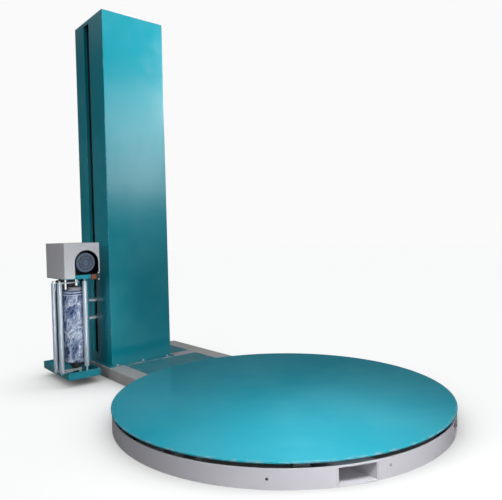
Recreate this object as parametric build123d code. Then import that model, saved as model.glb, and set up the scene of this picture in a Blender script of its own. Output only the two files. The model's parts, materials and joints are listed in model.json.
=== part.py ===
"""Turntable pallet wrapper: a low round table that turns a pallet, and a mast whose carriage
lifts a film roll past it. Millimetres, +Z up. The origin is where the table's axis meets the
floor, the mast stands towards +Y, and the film carriage hangs on the mast's -X side."""
from build123d import *
import math
import os

# ---------------------------------------------------------------- driving dimensions
# Turntable
TABLE_DIAMETER = 1800.0
DISC_THICKNESS = 7.0
DISC_EDGE_ROUND = 1.5
DISC_GAP = 20.0              # between the ring's top and the disc
RING_HEIGHT = 82.0
RING_THICKNESS = 6.0
RING_INSET = 4.0             # the disc overhangs the ring by this much
RING_HOLE_RADIUS = 6.5
RING_HOLE_ANGLE = 46.8       # either side of the front, seen from the table's axis
RING_HOLE_Z = 41.0

# Fork pockets under the table
POCKET_WIDTH = 160.0
POCKET_DROP = 2.0            # pocket's roof below the ring's top
POCKET_WALL = 6.0
POCKET_SPACING = 725.0

# Bridge and mast platform
BEAM_WIDTH = 118.0
BEAM_HEIGHT = 74.0
BEAM_WALL = 5.0
BEAM_OUTER = 412.0           # outer face of each beam from the centre plane
COVER_THICKNESS = 5.0
COVER_GAP = 2.0
CROSS_THICKNESS = 16.0
CROSS_WIDTH = 100.0
LEDGE_WIDTH = 20.0
LEDGE_FROM_RING = 20.0
MEMBER_SIZE = 40.0           # square frame members inside the ring
MEMBER_ROWS = (-84.0, 230.0)
BRIDGE_ROW = 360.0           # members between the pockets, in front and behind
DRIVE_PLATE_HALF = 130.0
DRIVE_PLATE_HOLE = 32.0

# Mast
MAST_LEFT = -384.0
MAST_GAP = 387.0             # from the disc's edge to the mast's front
MAST_WIDTH = 466.0
MAST_DEPTH = 465.0
MAST_TOP = 2515.0
MAST_SHEET = 3.0
MAST_BEND = 4.0
FLANGE_THICKNESS = 8.0
FLANGE_REACH = 20.0          # flange beyond the mast's skin
FLANGE_INSIDE = 40.0         # flange inside the mast's skin
FLANGE_BOLT_SIDE = 36.0      # bolt rows from the mast's outer corners
BOLT_HEAD_RADIUS = 8.0
BOLT_HEAD_HEIGHT = 7.0
WASHER_RADIUS = 9.5
WASHER_THICKNESS = 1.6
SLOT_FROM_FRONT = 264.0      # slot centre from the mast's front face
SLOT_WIDTH = 88.0
SLOT_LIP = 25.0
SLOT_TOP_MARGIN = 28.0
SLOT_SILL = 60.0

# Lift guides and trolley
RAIL_SIZE = 50.0
RAIL_WALL = 5.0
RAIL_STANDOFF = 31.0         # rail from the mast's left skin
RAIL_SETBACK = 17.0          # rails' open sides behind the slot's edges
STANDOFF_COUNT = 4
STANDOFF_MARGIN = 60.0
STANDOFF_HALF = 30.0
RAIL_BOTTOM_CLEAR = 20.0
RAIL_TOP_CLEAR = 25.0
TROLLEY_THICKNESS = 8.0
TROLLEY_HEIGHT = 260.0
TROLLEY_BITE = 30.0          # how far the plate reaches into each rail
SHOE_HEIGHT = 80.0
SHOE_CLEARANCE = 1.0
ARM_WIDTH = 52.0
ARM_THICKNESS = 20.0
ARM_LOW_RISE = 347.0         # lower arm above the tray's underside
ARM_SPACING = 127.0

# Chains and sprockets
CHAIN_PITCH = 19.05
CHAIN_WIDTH = 12.0
CHAIN_THICKNESS = 6.0
CHAIN_CLEARANCE = 0.8
SPROCKET_THICKNESS = 10.0
ROLLER_SEAT = 6.0
TABLE_TEETH = 76
DRIVE_TEETH = 19
LIFT_TEETH = 16
TABLE_CHAIN_Z = 33.0
DRIVE_FROM_LEFT = 284.0      # drive shaft from the mast's left side
DRIVE_FROM_FRONT = 163.0     # and from its front
LIFT_PLANE_GAP = 22.0        # rail face to the middle of the lift chain
LIFT_TOP_DROP = 115.0        # upper shaft below the mast's top
LIFT_LOW_RISE = 123.0        # lower shaft above the mast's base
SPROCKET_BORE_GAP = 14.0     # table sprocket's bore round the hub
SPROCKET_HOLE_RADIUS = 34.0
SPACER_RADIUS = 12.0
SPACER_COUNT = 6
DRIVE_SHAFT_RADIUS = 15.0
LIFT_SHAFT_RADIUS = 12.0
CHAIN_HEADROOM = 16.0
TOOTH_TIP = 4.0              # sprocket tip beyond the pitch circle
MOUNT_GAP = 34.0             # lift mounting plates from the rails' faces
MOUNT_THICKNESS = 8.0

# Centre bearing
HUB_RADIUS = 62.0
BEARING_RADIUS = 45.0
SPINDLE_RADIUS = 25.0
RUNNING_CLEARANCE = 0.05
SPINDLE_FLANGE_RADIUS = 100.0
SPINDLE_FLANGE_THICKNESS = 6.0
HUB_PLATE = 8.0
HUB_HEADROOM = 4.0           # housing below the spindle's flange
BEARING_DEPTH = 14.0         # bearing above the housing's floor
HUB_FLOOR = 6.0

# Support wheels under the table
WHEEL_RADIUS = 36.0
WHEEL_WIDTH = 30.0
WHEEL_FROM_RING = 45.0       # wheel's middle inside the ring
WHEEL_GAP = 0.3              # below the disc
WHEEL_ANGLES = (38.0, 68.0, 98.0, 142.0)   # from the front, on both sides
AXLE_RADIUS = 8.0
BRACKET_SHEET = 5.0
BRACKET_LENGTH = 50.0
BRACKET_SIDE_GAP = 1.5
CHEEK_RISE = 16.0            # bracket above the axle
AXLE_END = 4.0

# Carriage
TRAY_GAP = 100.0             # tray's right side from the mast
TRAY_WIDTH = 216.0
TRAY_FRONT_GAP = 28.0        # tray's front from the idler roller
TRAY_BACK_REACH = 176.0      # tray's back beyond the slot's middle
TRAY_BOTTOM = 48.0
TRAY_DEPTH = 49.0
TRAY_SHEET = 4.0
POST_DEPTH = 36.0
POST_WIDTH = 112.0
TOP_PLATE_RISE = 82.0        # top plate above the film
TOP_PLATE_THICKNESS = 4.0
TOP_FLANGE = 26.0
HEAD_LEFT_REACH = 10.0       # head beyond the tray's left side
HEAD_RIGHT_REACH = 12.0
HEAD_FRONT_REACH = 7.0
HEAD_BACK_GAP = 54.0         # head's back from the stretch rollers' axes
HEAD_HEIGHT = 231.0
HEAD_SHEET = 2.0
WINDOW_SHIFT = 4.0           # window's middle from the motor's axis
WINDOW_WIDTH = 160.0
WINDOW_HEIGHT = 183.0

# Film and rollers
FILM_RADIUS = 80.0
FILM_WIDTH = 480.0
FILM_TO_POST = 21.0
FILM_AHEAD = 151.0           # film's axis in front of the slot's middle
FILM_RISE = 88.0             # film above the tray's floor
CORE_RADIUS = 43.0
CORE_WALL = 5.0
CORE_FOOT = 4.0              # core below the film
CORE_HEAD = 20.0             # core above the film
MANDREL_FLANGE = 28.0
MANDREL_RIM = 3.0
MANDREL_STUB = 26.0
MANDREL_FIT = 0.5
MANDREL_LEAD = 6.0           # mandrel beyond the core's top
IDLER_FROM_RIGHT = 76.0      # idler's axis from the tray's right side
IDLER_RADIUS = 16.0
IDLER_TO_FILM = 14.0
DANCER_LEFT = 40.0           # dancer's pivot beyond the idler
DANCER_BEHIND = 20.0
OUTER_REACH = (-150.0, 28.0) # outer roller from the pivot
INNER_REACH = (-135.0, -42.0)
OUTER_ROLLER_RADIUS = 12.5
INNER_ROLLER_RADIUS = 15.5
DANCER_ARM_THICKNESS = 5.0
DANCER_ARM_WIDTH = 26.0
DANCER_OVER_TRAY = 2.5       # lower arm above the tray's rim
DANCER_UNDER_HEAD = 26.0     # upper arm below the top plate
DANCER_PIN_DROP = 9.0        # roller pins below the lower arm
DANCER_PIN_RISE = 14.0       # roller pins above the upper arm
ROLLER_RISE = 64.0           # fixed rollers above the tray's floor
ROLLER_DROP = 20.0           # and below the top plate
ROLLER_END_GAP = 1.5
PIN_RADIUS = 6.0
PIN_END_GAP = 1.0            # pins and stubs above the tray's floor
PIVOT_RADIUS = 8.5
FILM_THICKNESS = 2.0         # the threaded film's stand-in thickness
WEB_GAP = 0.6
WEB_REACH = 0.6              # share of the way to the dancer, clear of its swing

# Pre-stretch rollers and gears
GEAR_MODULE = 2.5
SLOW_TEETH = 36
FAST_TEETH = 24
PINION_TEETH = 20
SLOW_FROM_RIGHT = 156.0      # slow roller's axis from the tray's right side
STRETCH_TO_FILM = 8.0
STRETCH_RADIUS = 30.0
STRETCH_JOURNAL = 10.0
GEAR_RISE = 10.0             # gears above the top plate
GEAR_THICKNESS = 14.0
PINION_SHAFT_RADIUS = 9.0
BACKLASH = 0.35
MOTOR_RISE = 101.0           # motor's axis above the top plate
MOTOR_RADIUS = 58.0
FAN_COVER_RADIUS = 65.0
FAN_RECESS = 6.0             # fan cover behind the head cover's face
FAN_LENGTH = 38.0
GEARBOX_REACH = 42.0
GEARBOX_HALF = 44.0
GEARBOX_RISE = 14.0          # gearbox above the gears
GEARBOX_BOSS = 8.0
KNOB_FROM_WINDOW = 37.0      # knob from the window's middle
KNOB_RADIUS = 18.0
KNOB_LENGTH = 16.0
KNOB_NOTCHES = 12
KNOB_STEM = 5.0
KNOB_STANDOFF = 6.0          # knob in front of the head cover

# Control cabinet on the mast's back
CABINET_SHIFT = 11.0         # cabinet from the mast's middle
CABINET_WIDTH = 320.0
CABINET_DEPTH = 150.0
CABINET_BOTTOM = 1040.0
CABINET_HEIGHT = 520.0
CABINET_SHEET = 2.0
DOOR_THICKNESS = 16.0
DOOR_GAP = 1.0
DOOR_SHEET = 3.0
STEM_RADIUS = 9.0
STEM_CLEARANCE = 0.4
DISPLAY_WIDTH = 122.0
DISPLAY_HEIGHT = 82.0
DISPLAY_RECESS = 2.0
HINGE_RADIUS = 6.0
HINGE_PIN = 3.0
HINGE_KNUCKLE = 26.0
HINGE_INSET = 90.0

# ---------------------------------------------------------------- derived places
TABLE_RADIUS = TABLE_DIAMETER / 2
DISC_BOTTOM = RING_HEIGHT + DISC_GAP
TABLE_TOP = DISC_BOTTOM + DISC_THICKNESS
RING_OUTER = TABLE_RADIUS - RING_INSET
RING_INNER = RING_OUTER - RING_THICKNESS
WHEEL_CIRCLE = RING_INNER - WHEEL_FROM_RING
POCKET_HEIGHT = RING_HEIGHT - POCKET_DROP
POCKET_X = POCKET_SPACING / 2
BEAM_INNER = BEAM_OUTER - BEAM_WIDTH
MAST_FRONT = TABLE_RADIUS + MAST_GAP
MAST_RIGHT = MAST_LEFT + MAST_WIDTH
MAST_BACK = MAST_FRONT + MAST_DEPTH
MAST_X = (MAST_LEFT + MAST_RIGHT) / 2
MAST_BASE = BEAM_HEIGHT + FLANGE_THICKNESS
PLATFORM_FRONT = MAST_FRONT - FLANGE_REACH - COVER_GAP
PLATFORM_BACK = MAST_BACK + FLANGE_REACH + COVER_GAP
SLOT_Y = MAST_FRONT + SLOT_FROM_FRONT
SLOT_FRONT = SLOT_Y - SLOT_WIDTH / 2
SLOT_BACK = SLOT_Y + SLOT_WIDTH / 2
SLOT_TOP = MAST_TOP - SLOT_TOP_MARGIN
SLOT_BOTTOM = MAST_BASE + SLOT_SILL
RAIL_OPENING = SLOT_WIDTH + 2 * RAIL_SETBACK
RAIL_X0 = MAST_LEFT + MAST_SHEET + RAIL_STANDOFF
RAIL_X1 = RAIL_X0 + RAIL_SIZE
RAIL_X = (RAIL_X0 + RAIL_X1) / 2
RAIL_Z0 = MAST_BASE + RAIL_BOTTOM_CLEAR
RAIL_Z1 = MAST_TOP - RAIL_TOP_CLEAR
TROLLEY_X0 = RAIL_X - TROLLEY_THICKNESS / 2
TROLLEY_X1 = RAIL_X + TROLLEY_THICKNESS / 2
TRAY_FLOOR = TRAY_BOTTOM + TRAY_SHEET
TRAY_TOP = TRAY_BOTTOM + TRAY_DEPTH
TRAY_RIGHT = MAST_LEFT - TRAY_GAP
TRAY_LEFT = TRAY_RIGHT - TRAY_WIDTH
TRAY_BACK = SLOT_Y + TRAY_BACK_REACH
ARM_LOW_Z = TRAY_BOTTOM + ARM_LOW_RISE
ARM_HIGH_Z = ARM_LOW_Z + ARM_SPACING
TROLLEY_Z = (ARM_LOW_Z + ARM_HIGH_Z) / 2
POST_WEB = TRAY_RIGHT + POST_DEPTH
DRIVE_X = MAST_LEFT + DRIVE_FROM_LEFT
DRIVE_Y = MAST_FRONT + DRIVE_FROM_FRONT
LIFT_TOP_Z = MAST_TOP - LIFT_TOP_DROP
LIFT_LOW_Z = MAST_BASE + LIFT_LOW_RISE
LIFT_X = RAIL_X1 + LIFT_PLANE_GAP
TABLE_PITCH_RADIUS = CHAIN_PITCH / 2 / math.sin(math.pi / TABLE_TEETH)
DRIVE_PITCH_RADIUS = CHAIN_PITCH / 2 / math.sin(math.pi / DRIVE_TEETH)
LIFT_PITCH_RADIUS = CHAIN_PITCH / 2 / math.sin(math.pi / LIFT_TEETH)
FILM_X = TRAY_RIGHT - FILM_RADIUS - FILM_TO_POST
FILM_Y = SLOT_Y - FILM_AHEAD
FILM_BOTTOM = TRAY_FLOOR + FILM_RISE
FILM_TOP = FILM_BOTTOM + FILM_WIDTH
TOP_PLATE_Z = FILM_TOP + TOP_PLATE_RISE
IDLER_X = TRAY_RIGHT - IDLER_FROM_RIGHT
IDLER_Y = FILM_Y - FILM_RADIUS - IDLER_RADIUS - IDLER_TO_FILM
TRAY_FRONT = IDLER_Y - IDLER_RADIUS - TRAY_FRONT_GAP
DANCER_X = IDLER_X - DANCER_LEFT
DANCER_Y = IDLER_Y + DANCER_BEHIND
OUTER_ROLLER = (DANCER_X + OUTER_REACH[0], DANCER_Y + OUTER_REACH[1])
INNER_ROLLER = (DANCER_X + INNER_REACH[0], DANCER_Y + INNER_REACH[1])
DANCER_LOW_Z = TRAY_TOP + DANCER_OVER_TRAY
DANCER_HIGH_Z = TOP_PLATE_Z - DANCER_UNDER_HEAD
ROLLER_BOTTOM = TRAY_FLOOR + ROLLER_RISE
ROLLER_TOP = TOP_PLATE_Z - ROLLER_DROP
SLOW_X = TRAY_RIGHT - SLOW_FROM_RIGHT
STRETCH_Y = FILM_Y + FILM_RADIUS + STRETCH_RADIUS + STRETCH_TO_FILM
STRETCH_CENTRES = GEAR_MODULE * (SLOW_TEETH + FAST_TEETH) / 2
FAST_X = SLOW_X + STRETCH_CENTRES
MOTOR_X = FAST_X
WINDOW_X = MOTOR_X + WINDOW_SHIFT
KNOB_X = WINDOW_X + KNOB_FROM_WINDOW
PINION_CENTRES = GEAR_MODULE * (SLOW_TEETH + PINION_TEETH) / 2
PINION_ANGLE = -60.0         # from the slow gear to the pinion, a whole number of slow teeth
PINION_X = SLOW_X + PINION_CENTRES * math.cos(math.radians(PINION_ANGLE))
PINION_Y = STRETCH_Y + PINION_CENTRES * math.sin(math.radians(PINION_ANGLE))
CABINET_X = MAST_X + CABINET_SHIFT
CABINET_BACK = MAST_BACK
CABINET_FACE = CABINET_BACK + CABINET_DEPTH
CABINET_LEFT = CABINET_X - CABINET_WIDTH / 2
CABINET_RIGHT = CABINET_X + CABINET_WIDTH / 2
CABINET_TOP = CABINET_BOTTOM + CABINET_HEIGHT
DOOR_Y0 = CABINET_FACE + DOOR_GAP
DOOR_Y1 = DOOR_Y0 + DOOR_THICKNESS
WHEEL_Z = DISC_BOTTOM - WHEEL_GAP - WHEEL_RADIUS
HEAD_BOTTOM = TOP_PLATE_Z + TOP_PLATE_THICKNESS
HEAD_TOP = HEAD_BOTTOM + HEAD_HEIGHT
HEAD_LEFT = TRAY_LEFT - HEAD_LEFT_REACH
HEAD_RIGHT = TRAY_RIGHT + HEAD_RIGHT_REACH
HEAD_FRONT = TRAY_FRONT - HEAD_FRONT_REACH
HEAD_BACK = STRETCH_Y + HEAD_BACK_GAP
WINDOW_TOP = HEAD_BOTTOM + WINDOW_HEIGHT
GEAR_Z = HEAD_BOTTOM + GEAR_RISE
MOTOR_Z = HEAD_BOTTOM + MOTOR_RISE
POST_FRONT = SLOT_Y - POST_WIDTH / 2
POST_BACK = SLOT_Y + POST_WIDTH / 2
CHAIN_WINDOW_TOP = TABLE_CHAIN_Z + CHAIN_WIDTH / 2 + CHAIN_HEADROOM
MOUNT_X0 = RAIL_X1 + MOUNT_GAP
MOUNT_X1 = MOUNT_X0 + MOUNT_THICKNESS
FAN_FRONT = HEAD_FRONT + HEAD_SHEET + FAN_RECESS
MOTOR_END = PINION_Y - GEARBOX_REACH
GEARBOX_Z0 = GEAR_Z + GEAR_THICKNESS + GEARBOX_RISE
KNOB_Z = HEAD_BOTTOM + KNOB_STEM + 1.0
RIM_Y = HEAD_FRONT + HEAD_SHEET + 1.0
RIM_THICKNESS = 3.0
BUTTON_ROW_Z = CABINET_TOP - 270.0
DISPLAY_Z = CABINET_TOP - 130.0
SWITCH_Z = CABINET_BOTTOM + 120.0
ESTOP_X = CABINET_X - 90.0
STOP_X = CABINET_X + 10.0
START_X = CABINET_X + 80.0
HINGE_X = CABINET_RIGHT + HINGE_RADIUS + 1.0
HINGE_Y = DOOR_Y0 + HINGE_RADIUS - 2.0


# ---------------------------------------------------------------- helpers
def block(x0, x1, y0, y1, z0, z1):
    """Box between two corners."""
    return Pos((x0 + x1) / 2, (y0 + y1) / 2, (z0 + z1) / 2) * Box(x1 - x0, y1 - y0, z1 - z0)


def rod_z(x, y, z0, z1, r):
    """Round bar standing along Z."""
    return Pos(x, y, (z0 + z1) / 2) * Cylinder(r, z1 - z0)


def rod_y(x, y0, y1, z, r):
    """Round bar lying along Y."""
    return Pos(x, (y0 + y1) / 2, z) * Rot(90, 0, 0) * Cylinder(r, y1 - y0)


def rod_x(x0, x1, y, z, r):
    """Round bar lying along X."""
    return Pos((x0 + x1) / 2, y, z) * Rot(0, 90, 0) * Cylinder(r, x1 - x0)


def solids_of(shape):
    return list(shape.solids())


def save(name, *shapes):
    """Writes every solid of the shapes as one STEP node."""
    solids = [s for shape in shapes for s in solids_of(shape)]
    export_step(Compound(children=solids), f"parts/{name}.step")


def mirrored(shape):
    """The shape and its mirror image across the machine's centre plane."""
    return [shape, mirror(shape, about=Plane.YZ)]


def round_vertical(shape, radius, places):
    """Rounds the vertical edges that stand at the given (x, y) places."""
    picked = [
        e
        for e in shape.edges().filter_by(Axis.Z)
        if any(math.hypot(e.center().X - x, e.center().Y - y) < 0.6 for x, y in places)
    ]
    return fillet(picked, radius) if picked else shape


def radial(angle_deg, radius):
    """Point at this angle from the front (-Y), measured towards -X."""
    a = math.radians(angle_deg)
    return -radius * math.sin(a), -radius * math.cos(a)


def belt_outline(c1, r1, c2, r2):
    """Face of the outline that a belt takes round two circles."""
    dx, dy = c2[0] - c1[0], c2[1] - c1[1]
    span = math.hypot(dx, dy)
    along = math.atan2(dy, dx)
    lean = math.acos((r1 - r2) / span)

    def at(c, r, a):
        return (c[0] + r * math.cos(a), c[1] + r * math.sin(a))

    a1, a2 = along + lean, along - lean
    left = Line(at(c1, r1, a1), at(c2, r2, a1))
    far = ThreePointArc(at(c2, r2, a1), at(c2, r2, along), at(c2, r2, a2))
    right = Line(at(c2, r2, a2), at(c1, r1, a2))
    near = ThreePointArc(at(c1, r1, a2), at(c1, r1, along + math.pi), at(c1, r1, a1))
    return make_face([left, far, right, near])


def chain_loop(c1, r1, c2, r2):
    """Flat chain band that stands clear of both sprockets' tips."""
    inner1 = r1 + TOOTH_TIP + CHAIN_CLEARANCE
    inner2 = r2 + TOOTH_TIP + CHAIN_CLEARANCE
    band = belt_outline(c1, inner1 + CHAIN_THICKNESS, c2, inner2 + CHAIN_THICKNESS)
    return extrude(band - belt_outline(c1, inner1, c2, inner2), CHAIN_WIDTH / 2, both=True)


def sprocket(teeth, pitch_radius, bore):
    """Flat sprocket on XY, with round seats for the chain's rollers."""
    wheel = Circle(pitch_radius + TOOTH_TIP)
    seats = [loc * Circle(ROLLER_SEAT) for loc in PolarLocations(pitch_radius, teeth)]
    wheel = wheel - seats - Circle(bore)
    return extrude(wheel, SPROCKET_THICKNESS / 2, both=True)


def gear_outline(teeth, first_tooth_deg):
    """Face of an involute spur gear with a tooth centred at the given angle."""
    pitch_r = GEAR_MODULE * teeth / 2
    base_r = pitch_r * math.cos(math.radians(20))
    tip_r = pitch_r + GEAR_MODULE * 0.95
    root_r = pitch_r - GEAR_MODULE * 1.25

    def involute(r):
        t = math.sqrt(max((r / base_r) ** 2 - 1, 0))
        return t - math.atan(t)

    half_at_pitch = math.pi / 2 / teeth - BACKLASH / 2 / pitch_r
    steps = 5
    low_r = max(base_r, root_r + 0.2)
    flank = []
    for i in range(steps + 1):
        r = low_r + (tip_r - low_r) * i / steps
        flank.append((r, half_at_pitch + involute(pitch_r) - involute(r)))
    points = []
    for tooth in range(teeth):
        mid = math.radians(first_tooth_deg) + 2 * math.pi * tooth / teeth
        side = [(root_r, flank[0][1])] + flank
        for r, half in side:
            points.append((r * math.cos(mid - half), r * math.sin(mid - half)))
        for r, half in reversed(side):
            points.append((r * math.cos(mid + half), r * math.sin(mid + half)))
    return make_face(Polyline(*points, close=True))


def gear(teeth, x, y, first_tooth_deg, bore):
    flat = gear_outline(teeth, first_tooth_deg) - Circle(bore)
    return Pos(x, y, GEAR_Z) * extrude(flat, GEAR_THICKNESS)


def plain_roller(x, y, radius, z0, z1, journal, pin_z0, pin_z1):
    """Roller sleeve with a thinner pin out of each end, as one turned piece."""
    body = rod_z(x, y, z0, z1, radius)
    body = chamfer(body.edges().filter_by(GeomType.CIRCLE), 1.0)
    return body + rod_z(x, y, pin_z0, pin_z1, journal)


# ---------------------------------------------------------------- turntable base
def pocket_profile():
    """Fork pocket tube along Y, before its ends follow the ring."""
    outer = block(POCKET_X - POCKET_WIDTH / 2, POCKET_X + POCKET_WIDTH / 2,
                  -TABLE_RADIUS, TABLE_RADIUS, 0, POCKET_HEIGHT)
    inner = block(POCKET_X - POCKET_WIDTH / 2 + POCKET_WALL, POCKET_X + POCKET_WIDTH / 2 - POCKET_WALL,
                  -TABLE_RADIUS - 1, TABLE_RADIUS + 1, POCKET_WALL, POCKET_HEIGHT - POCKET_WALL)
    return outer, inner


def base_ring():
    ring = Cylinder(RING_OUTER, RING_HEIGHT) - Cylinder(RING_INNER, RING_HEIGHT + 2)
    ring = Pos(0, 0, RING_HEIGHT / 2) * ring
    outer, _ = pocket_profile()
    for tube in mirrored(outer):
        ring -= tube
    ring -= block(-BEAM_INNER, BEAM_INNER, 0, TABLE_RADIUS + 1, -1, CHAIN_WINDOW_TOP)
    for side in (1, -1):
        x, y = radial(side * RING_HOLE_ANGLE, RING_OUTER)
        heading = math.degrees(math.atan2(y, x))
        drill = Pos(0, 0, RING_HOLE_Z) * Rot(0, 0, heading) * Pos(RING_OUTER, 0, 0) * Rot(0, 90, 0)
        ring -= drill * Cylinder(RING_HOLE_RADIUS, RING_THICKNESS * 4)
    return ring


def fork_pockets():
    outer, inner = pocket_profile()
    tube = (outer & Pos(0, 0, POCKET_HEIGHT / 2) * Cylinder(RING_OUTER, POCKET_HEIGHT)) - inner
    return mirrored(tube)


def base_cross_members():
    """Frame members of the table's base, and the bars and ledges of the mast platform."""
    parts = []
    inside = POCKET_X - POCKET_WIDTH / 2
    outside = POCKET_X + POCKET_WIDTH / 2
    disc_clear = Pos(0, 0, RING_HEIGHT / 2) * Cylinder(RING_INNER, RING_HEIGHT)
    half = MEMBER_SIZE / 2
    for y in MEMBER_ROWS:
        arm = block(outside, TABLE_RADIUS, y - half, y + half, 0, MEMBER_SIZE)
        parts += mirrored(arm & disc_clear)
    for y in (-BRIDGE_ROW, BRIDGE_ROW):
        parts.append(block(-inside, inside, y - half, y + half, CHAIN_WINDOW_TOP, POCKET_HEIGHT))
    # platform bars under the mast flange
    for y0 in (PLATFORM_FRONT, PLATFORM_BACK - CROSS_WIDTH):
        parts.append(block(-BEAM_INNER, BEAM_INNER, y0, y0 + CROSS_WIDTH,
                           BEAM_HEIGHT - CROSS_THICKNESS, BEAM_HEIGHT))
    # ledges that carry the floor covers
    ledge_top = BEAM_HEIGHT - COVER_THICKNESS
    front = math.sqrt(RING_OUTER**2 - BEAM_INNER**2) + LEDGE_FROM_RING
    beside = (PLATFORM_FRONT + CROSS_WIDTH + 1, PLATFORM_BACK - CROSS_WIDTH - 1)
    for y0, y1 in ((front, PLATFORM_FRONT - 1), beside):
        parts += mirrored(block(BEAM_INNER - LEDGE_WIDTH, BEAM_INNER, y0, y1,
                                ledge_top - BRACKET_SHEET, ledge_top))
    # plate that carries the table's gearmotor
    plate = block(DRIVE_X - DRIVE_PLATE_HALF, DRIVE_X + DRIVE_PLATE_HALF, MAST_FRONT + FLANGE_INSIDE + 1,
                  MAST_BACK - FLANGE_INSIDE - 1, BEAM_HEIGHT, MAST_BASE)
    plate -= rod_z(DRIVE_X, DRIVE_Y, BEAM_HEIGHT - 1, MAST_BASE + 1, DRIVE_PLATE_HOLE)
    parts.append(plate)
    return parts


def center_hub():
    inside = POCKET_X - POCKET_WIDTH / 2
    plate = block(-inside, inside, -HUB_RADIUS * 2, HUB_RADIUS * 2, 0, HUB_PLATE)
    housing_top = DISC_BOTTOM - SPINDLE_FLANGE_THICKNESS - HUB_HEADROOM
    housing = rod_z(0, 0, HUB_PLATE, housing_top, HUB_RADIUS)
    floor = HUB_PLATE + HUB_FLOOR
    housing -= rod_z(0, 0, floor, housing_top + 1, BEARING_RADIUS)
    bearing = rod_z(0, 0, floor + BEARING_DEPTH, housing_top - 2, BEARING_RADIUS)
    bearing -= rod_z(0, 0, 0, housing_top + 1, SPINDLE_RADIUS + RUNNING_CLEARANCE)
    return [plate + housing, bearing]


def wheel_bracket():
    """U bracket for one support wheel, on the +X axis with the axle along X."""
    half = WHEEL_WIDTH / 2 + BRACKET_SIDE_GAP
    wide = half + BRACKET_SHEET
    base = block(-wide, wide, -BRACKET_LENGTH / 2, BRACKET_LENGTH / 2, 0, BRACKET_SHEET)
    cheek_top = WHEEL_Z + CHEEK_RISE
    cheek = block(half, wide, -BRACKET_LENGTH / 2, BRACKET_LENGTH / 2, BRACKET_SHEET, cheek_top)
    cheek -= rod_x(half - 1, wide + 1, 0, WHEEL_Z, AXLE_RADIUS + RUNNING_CLEARANCE)
    other = mirror(cheek, about=Plane.YZ)
    return base + cheek + other


def support_wheel():
    """Wheel and its axle, on the +X axis with the axle along X."""
    tyre = rod_x(-WHEEL_WIDTH / 2, WHEEL_WIDTH / 2, 0, WHEEL_Z, WHEEL_RADIUS)
    tyre = chamfer(tyre.edges().filter_by(GeomType.CIRCLE), 2.0)
    tyre -= rod_x(-WHEEL_WIDTH, WHEEL_WIDTH, 0, WHEEL_Z, AXLE_RADIUS)
    reach = WHEEL_WIDTH / 2 + BRACKET_SIDE_GAP + BRACKET_SHEET + AXLE_END
    axle = rod_x(-reach, reach, 0, WHEEL_Z, AXLE_RADIUS)
    return [tyre, axle]


def wheel_places():
    """Name, position and heading of every support wheel."""
    places = []
    for angle in WHEEL_ANGLES:
        for side, word in ((1, "left"), (-1, "right")):
            x, y = radial(side * angle, WHEEL_CIRCLE)
            heading = math.degrees(math.atan2(y, x))
            places.append((f"support_wheel_{word}_{int(angle)}", x, y, heading))
    return places


# ---------------------------------------------------------------- rotating table
def turntable_disc():
    disc = rod_z(0, 0, DISC_BOTTOM, TABLE_TOP, TABLE_RADIUS)
    return fillet(disc.edges().filter_by(GeomType.CIRCLE), DISC_EDGE_ROUND)


def table_spindle():
    flange = rod_z(0, 0, DISC_BOTTOM - SPINDLE_FLANGE_THICKNESS, DISC_BOTTOM, SPINDLE_FLANGE_RADIUS)
    shaft = rod_z(0, 0, HUB_PLATE + HUB_FLOOR + 4, DISC_BOTTOM - SPINDLE_FLANGE_THICKNESS, SPINDLE_RADIUS)
    return flange + shaft


def table_sprocket():
    """Big sprocket hung under the disc on spacer posts."""
    bore = HUB_RADIUS + SPROCKET_BORE_GAP
    level = Pos(0, 0, TABLE_CHAIN_Z)
    wheel = level * sprocket(TABLE_TEETH, TABLE_PITCH_RADIUS, bore)
    post_circle = (TABLE_PITCH_RADIUS + bore) / 2
    for loc in PolarLocations(post_circle, SPACER_COUNT, start_angle=180 / SPACER_COUNT):
        wheel -= level * extrude(loc * Circle(SPROCKET_HOLE_RADIUS), SPROCKET_THICKNESS, both=True)
    post = rod_z(0, 0, TABLE_CHAIN_Z + SPROCKET_THICKNESS / 2, DISC_BOTTOM, SPACER_RADIUS)
    return [wheel, *[loc * post for loc in PolarLocations(post_circle, SPACER_COUNT)]]


# ---------------------------------------------------------------- bridge and platform
def side_beams():
    beam = block(BEAM_INNER, BEAM_OUTER, 0, PLATFORM_BACK, 0, BEAM_HEIGHT)
    beam -= block(BEAM_INNER + BEAM_WALL, BEAM_OUTER - BEAM_WALL, -1, PLATFORM_BACK - BEAM_WALL,
                  BEAM_WALL, BEAM_HEIGHT - BEAM_WALL)
    beam -= Pos(0, 0, BEAM_HEIGHT / 2) * Cylinder(RING_OUTER, BEAM_HEIGHT + 2)
    long_edges = [e for e in beam.edges().filter_by(Axis.Y)
                  if abs(e.center().X - BEAM_OUTER) < 0.1 or abs(e.center().X - BEAM_INNER) < 0.1]
    return mirrored(fillet(long_edges, 3.0))


def floor_covers():
    """Plates between the beams: over the drive chain, and beside the mast."""
    z0, z1 = BEAM_HEIGHT - COVER_THICKNESS, BEAM_HEIGHT
    half = BEAM_INNER - COVER_GAP
    chain = block(-half, half, 0, PLATFORM_FRONT - COVER_GAP, z0, z1)
    chain -= Pos(0, 0, BEAM_HEIGHT / 2) * Cylinder(RING_OUTER + COVER_GAP, BEAM_HEIGHT + 2)
    beside = block(MAST_RIGHT + FLANGE_REACH + COVER_GAP, half, PLATFORM_FRONT + CROSS_WIDTH + COVER_GAP,
                   PLATFORM_BACK - CROSS_WIDTH - COVER_GAP, z0, z1)
    return [chain, beside]


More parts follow.
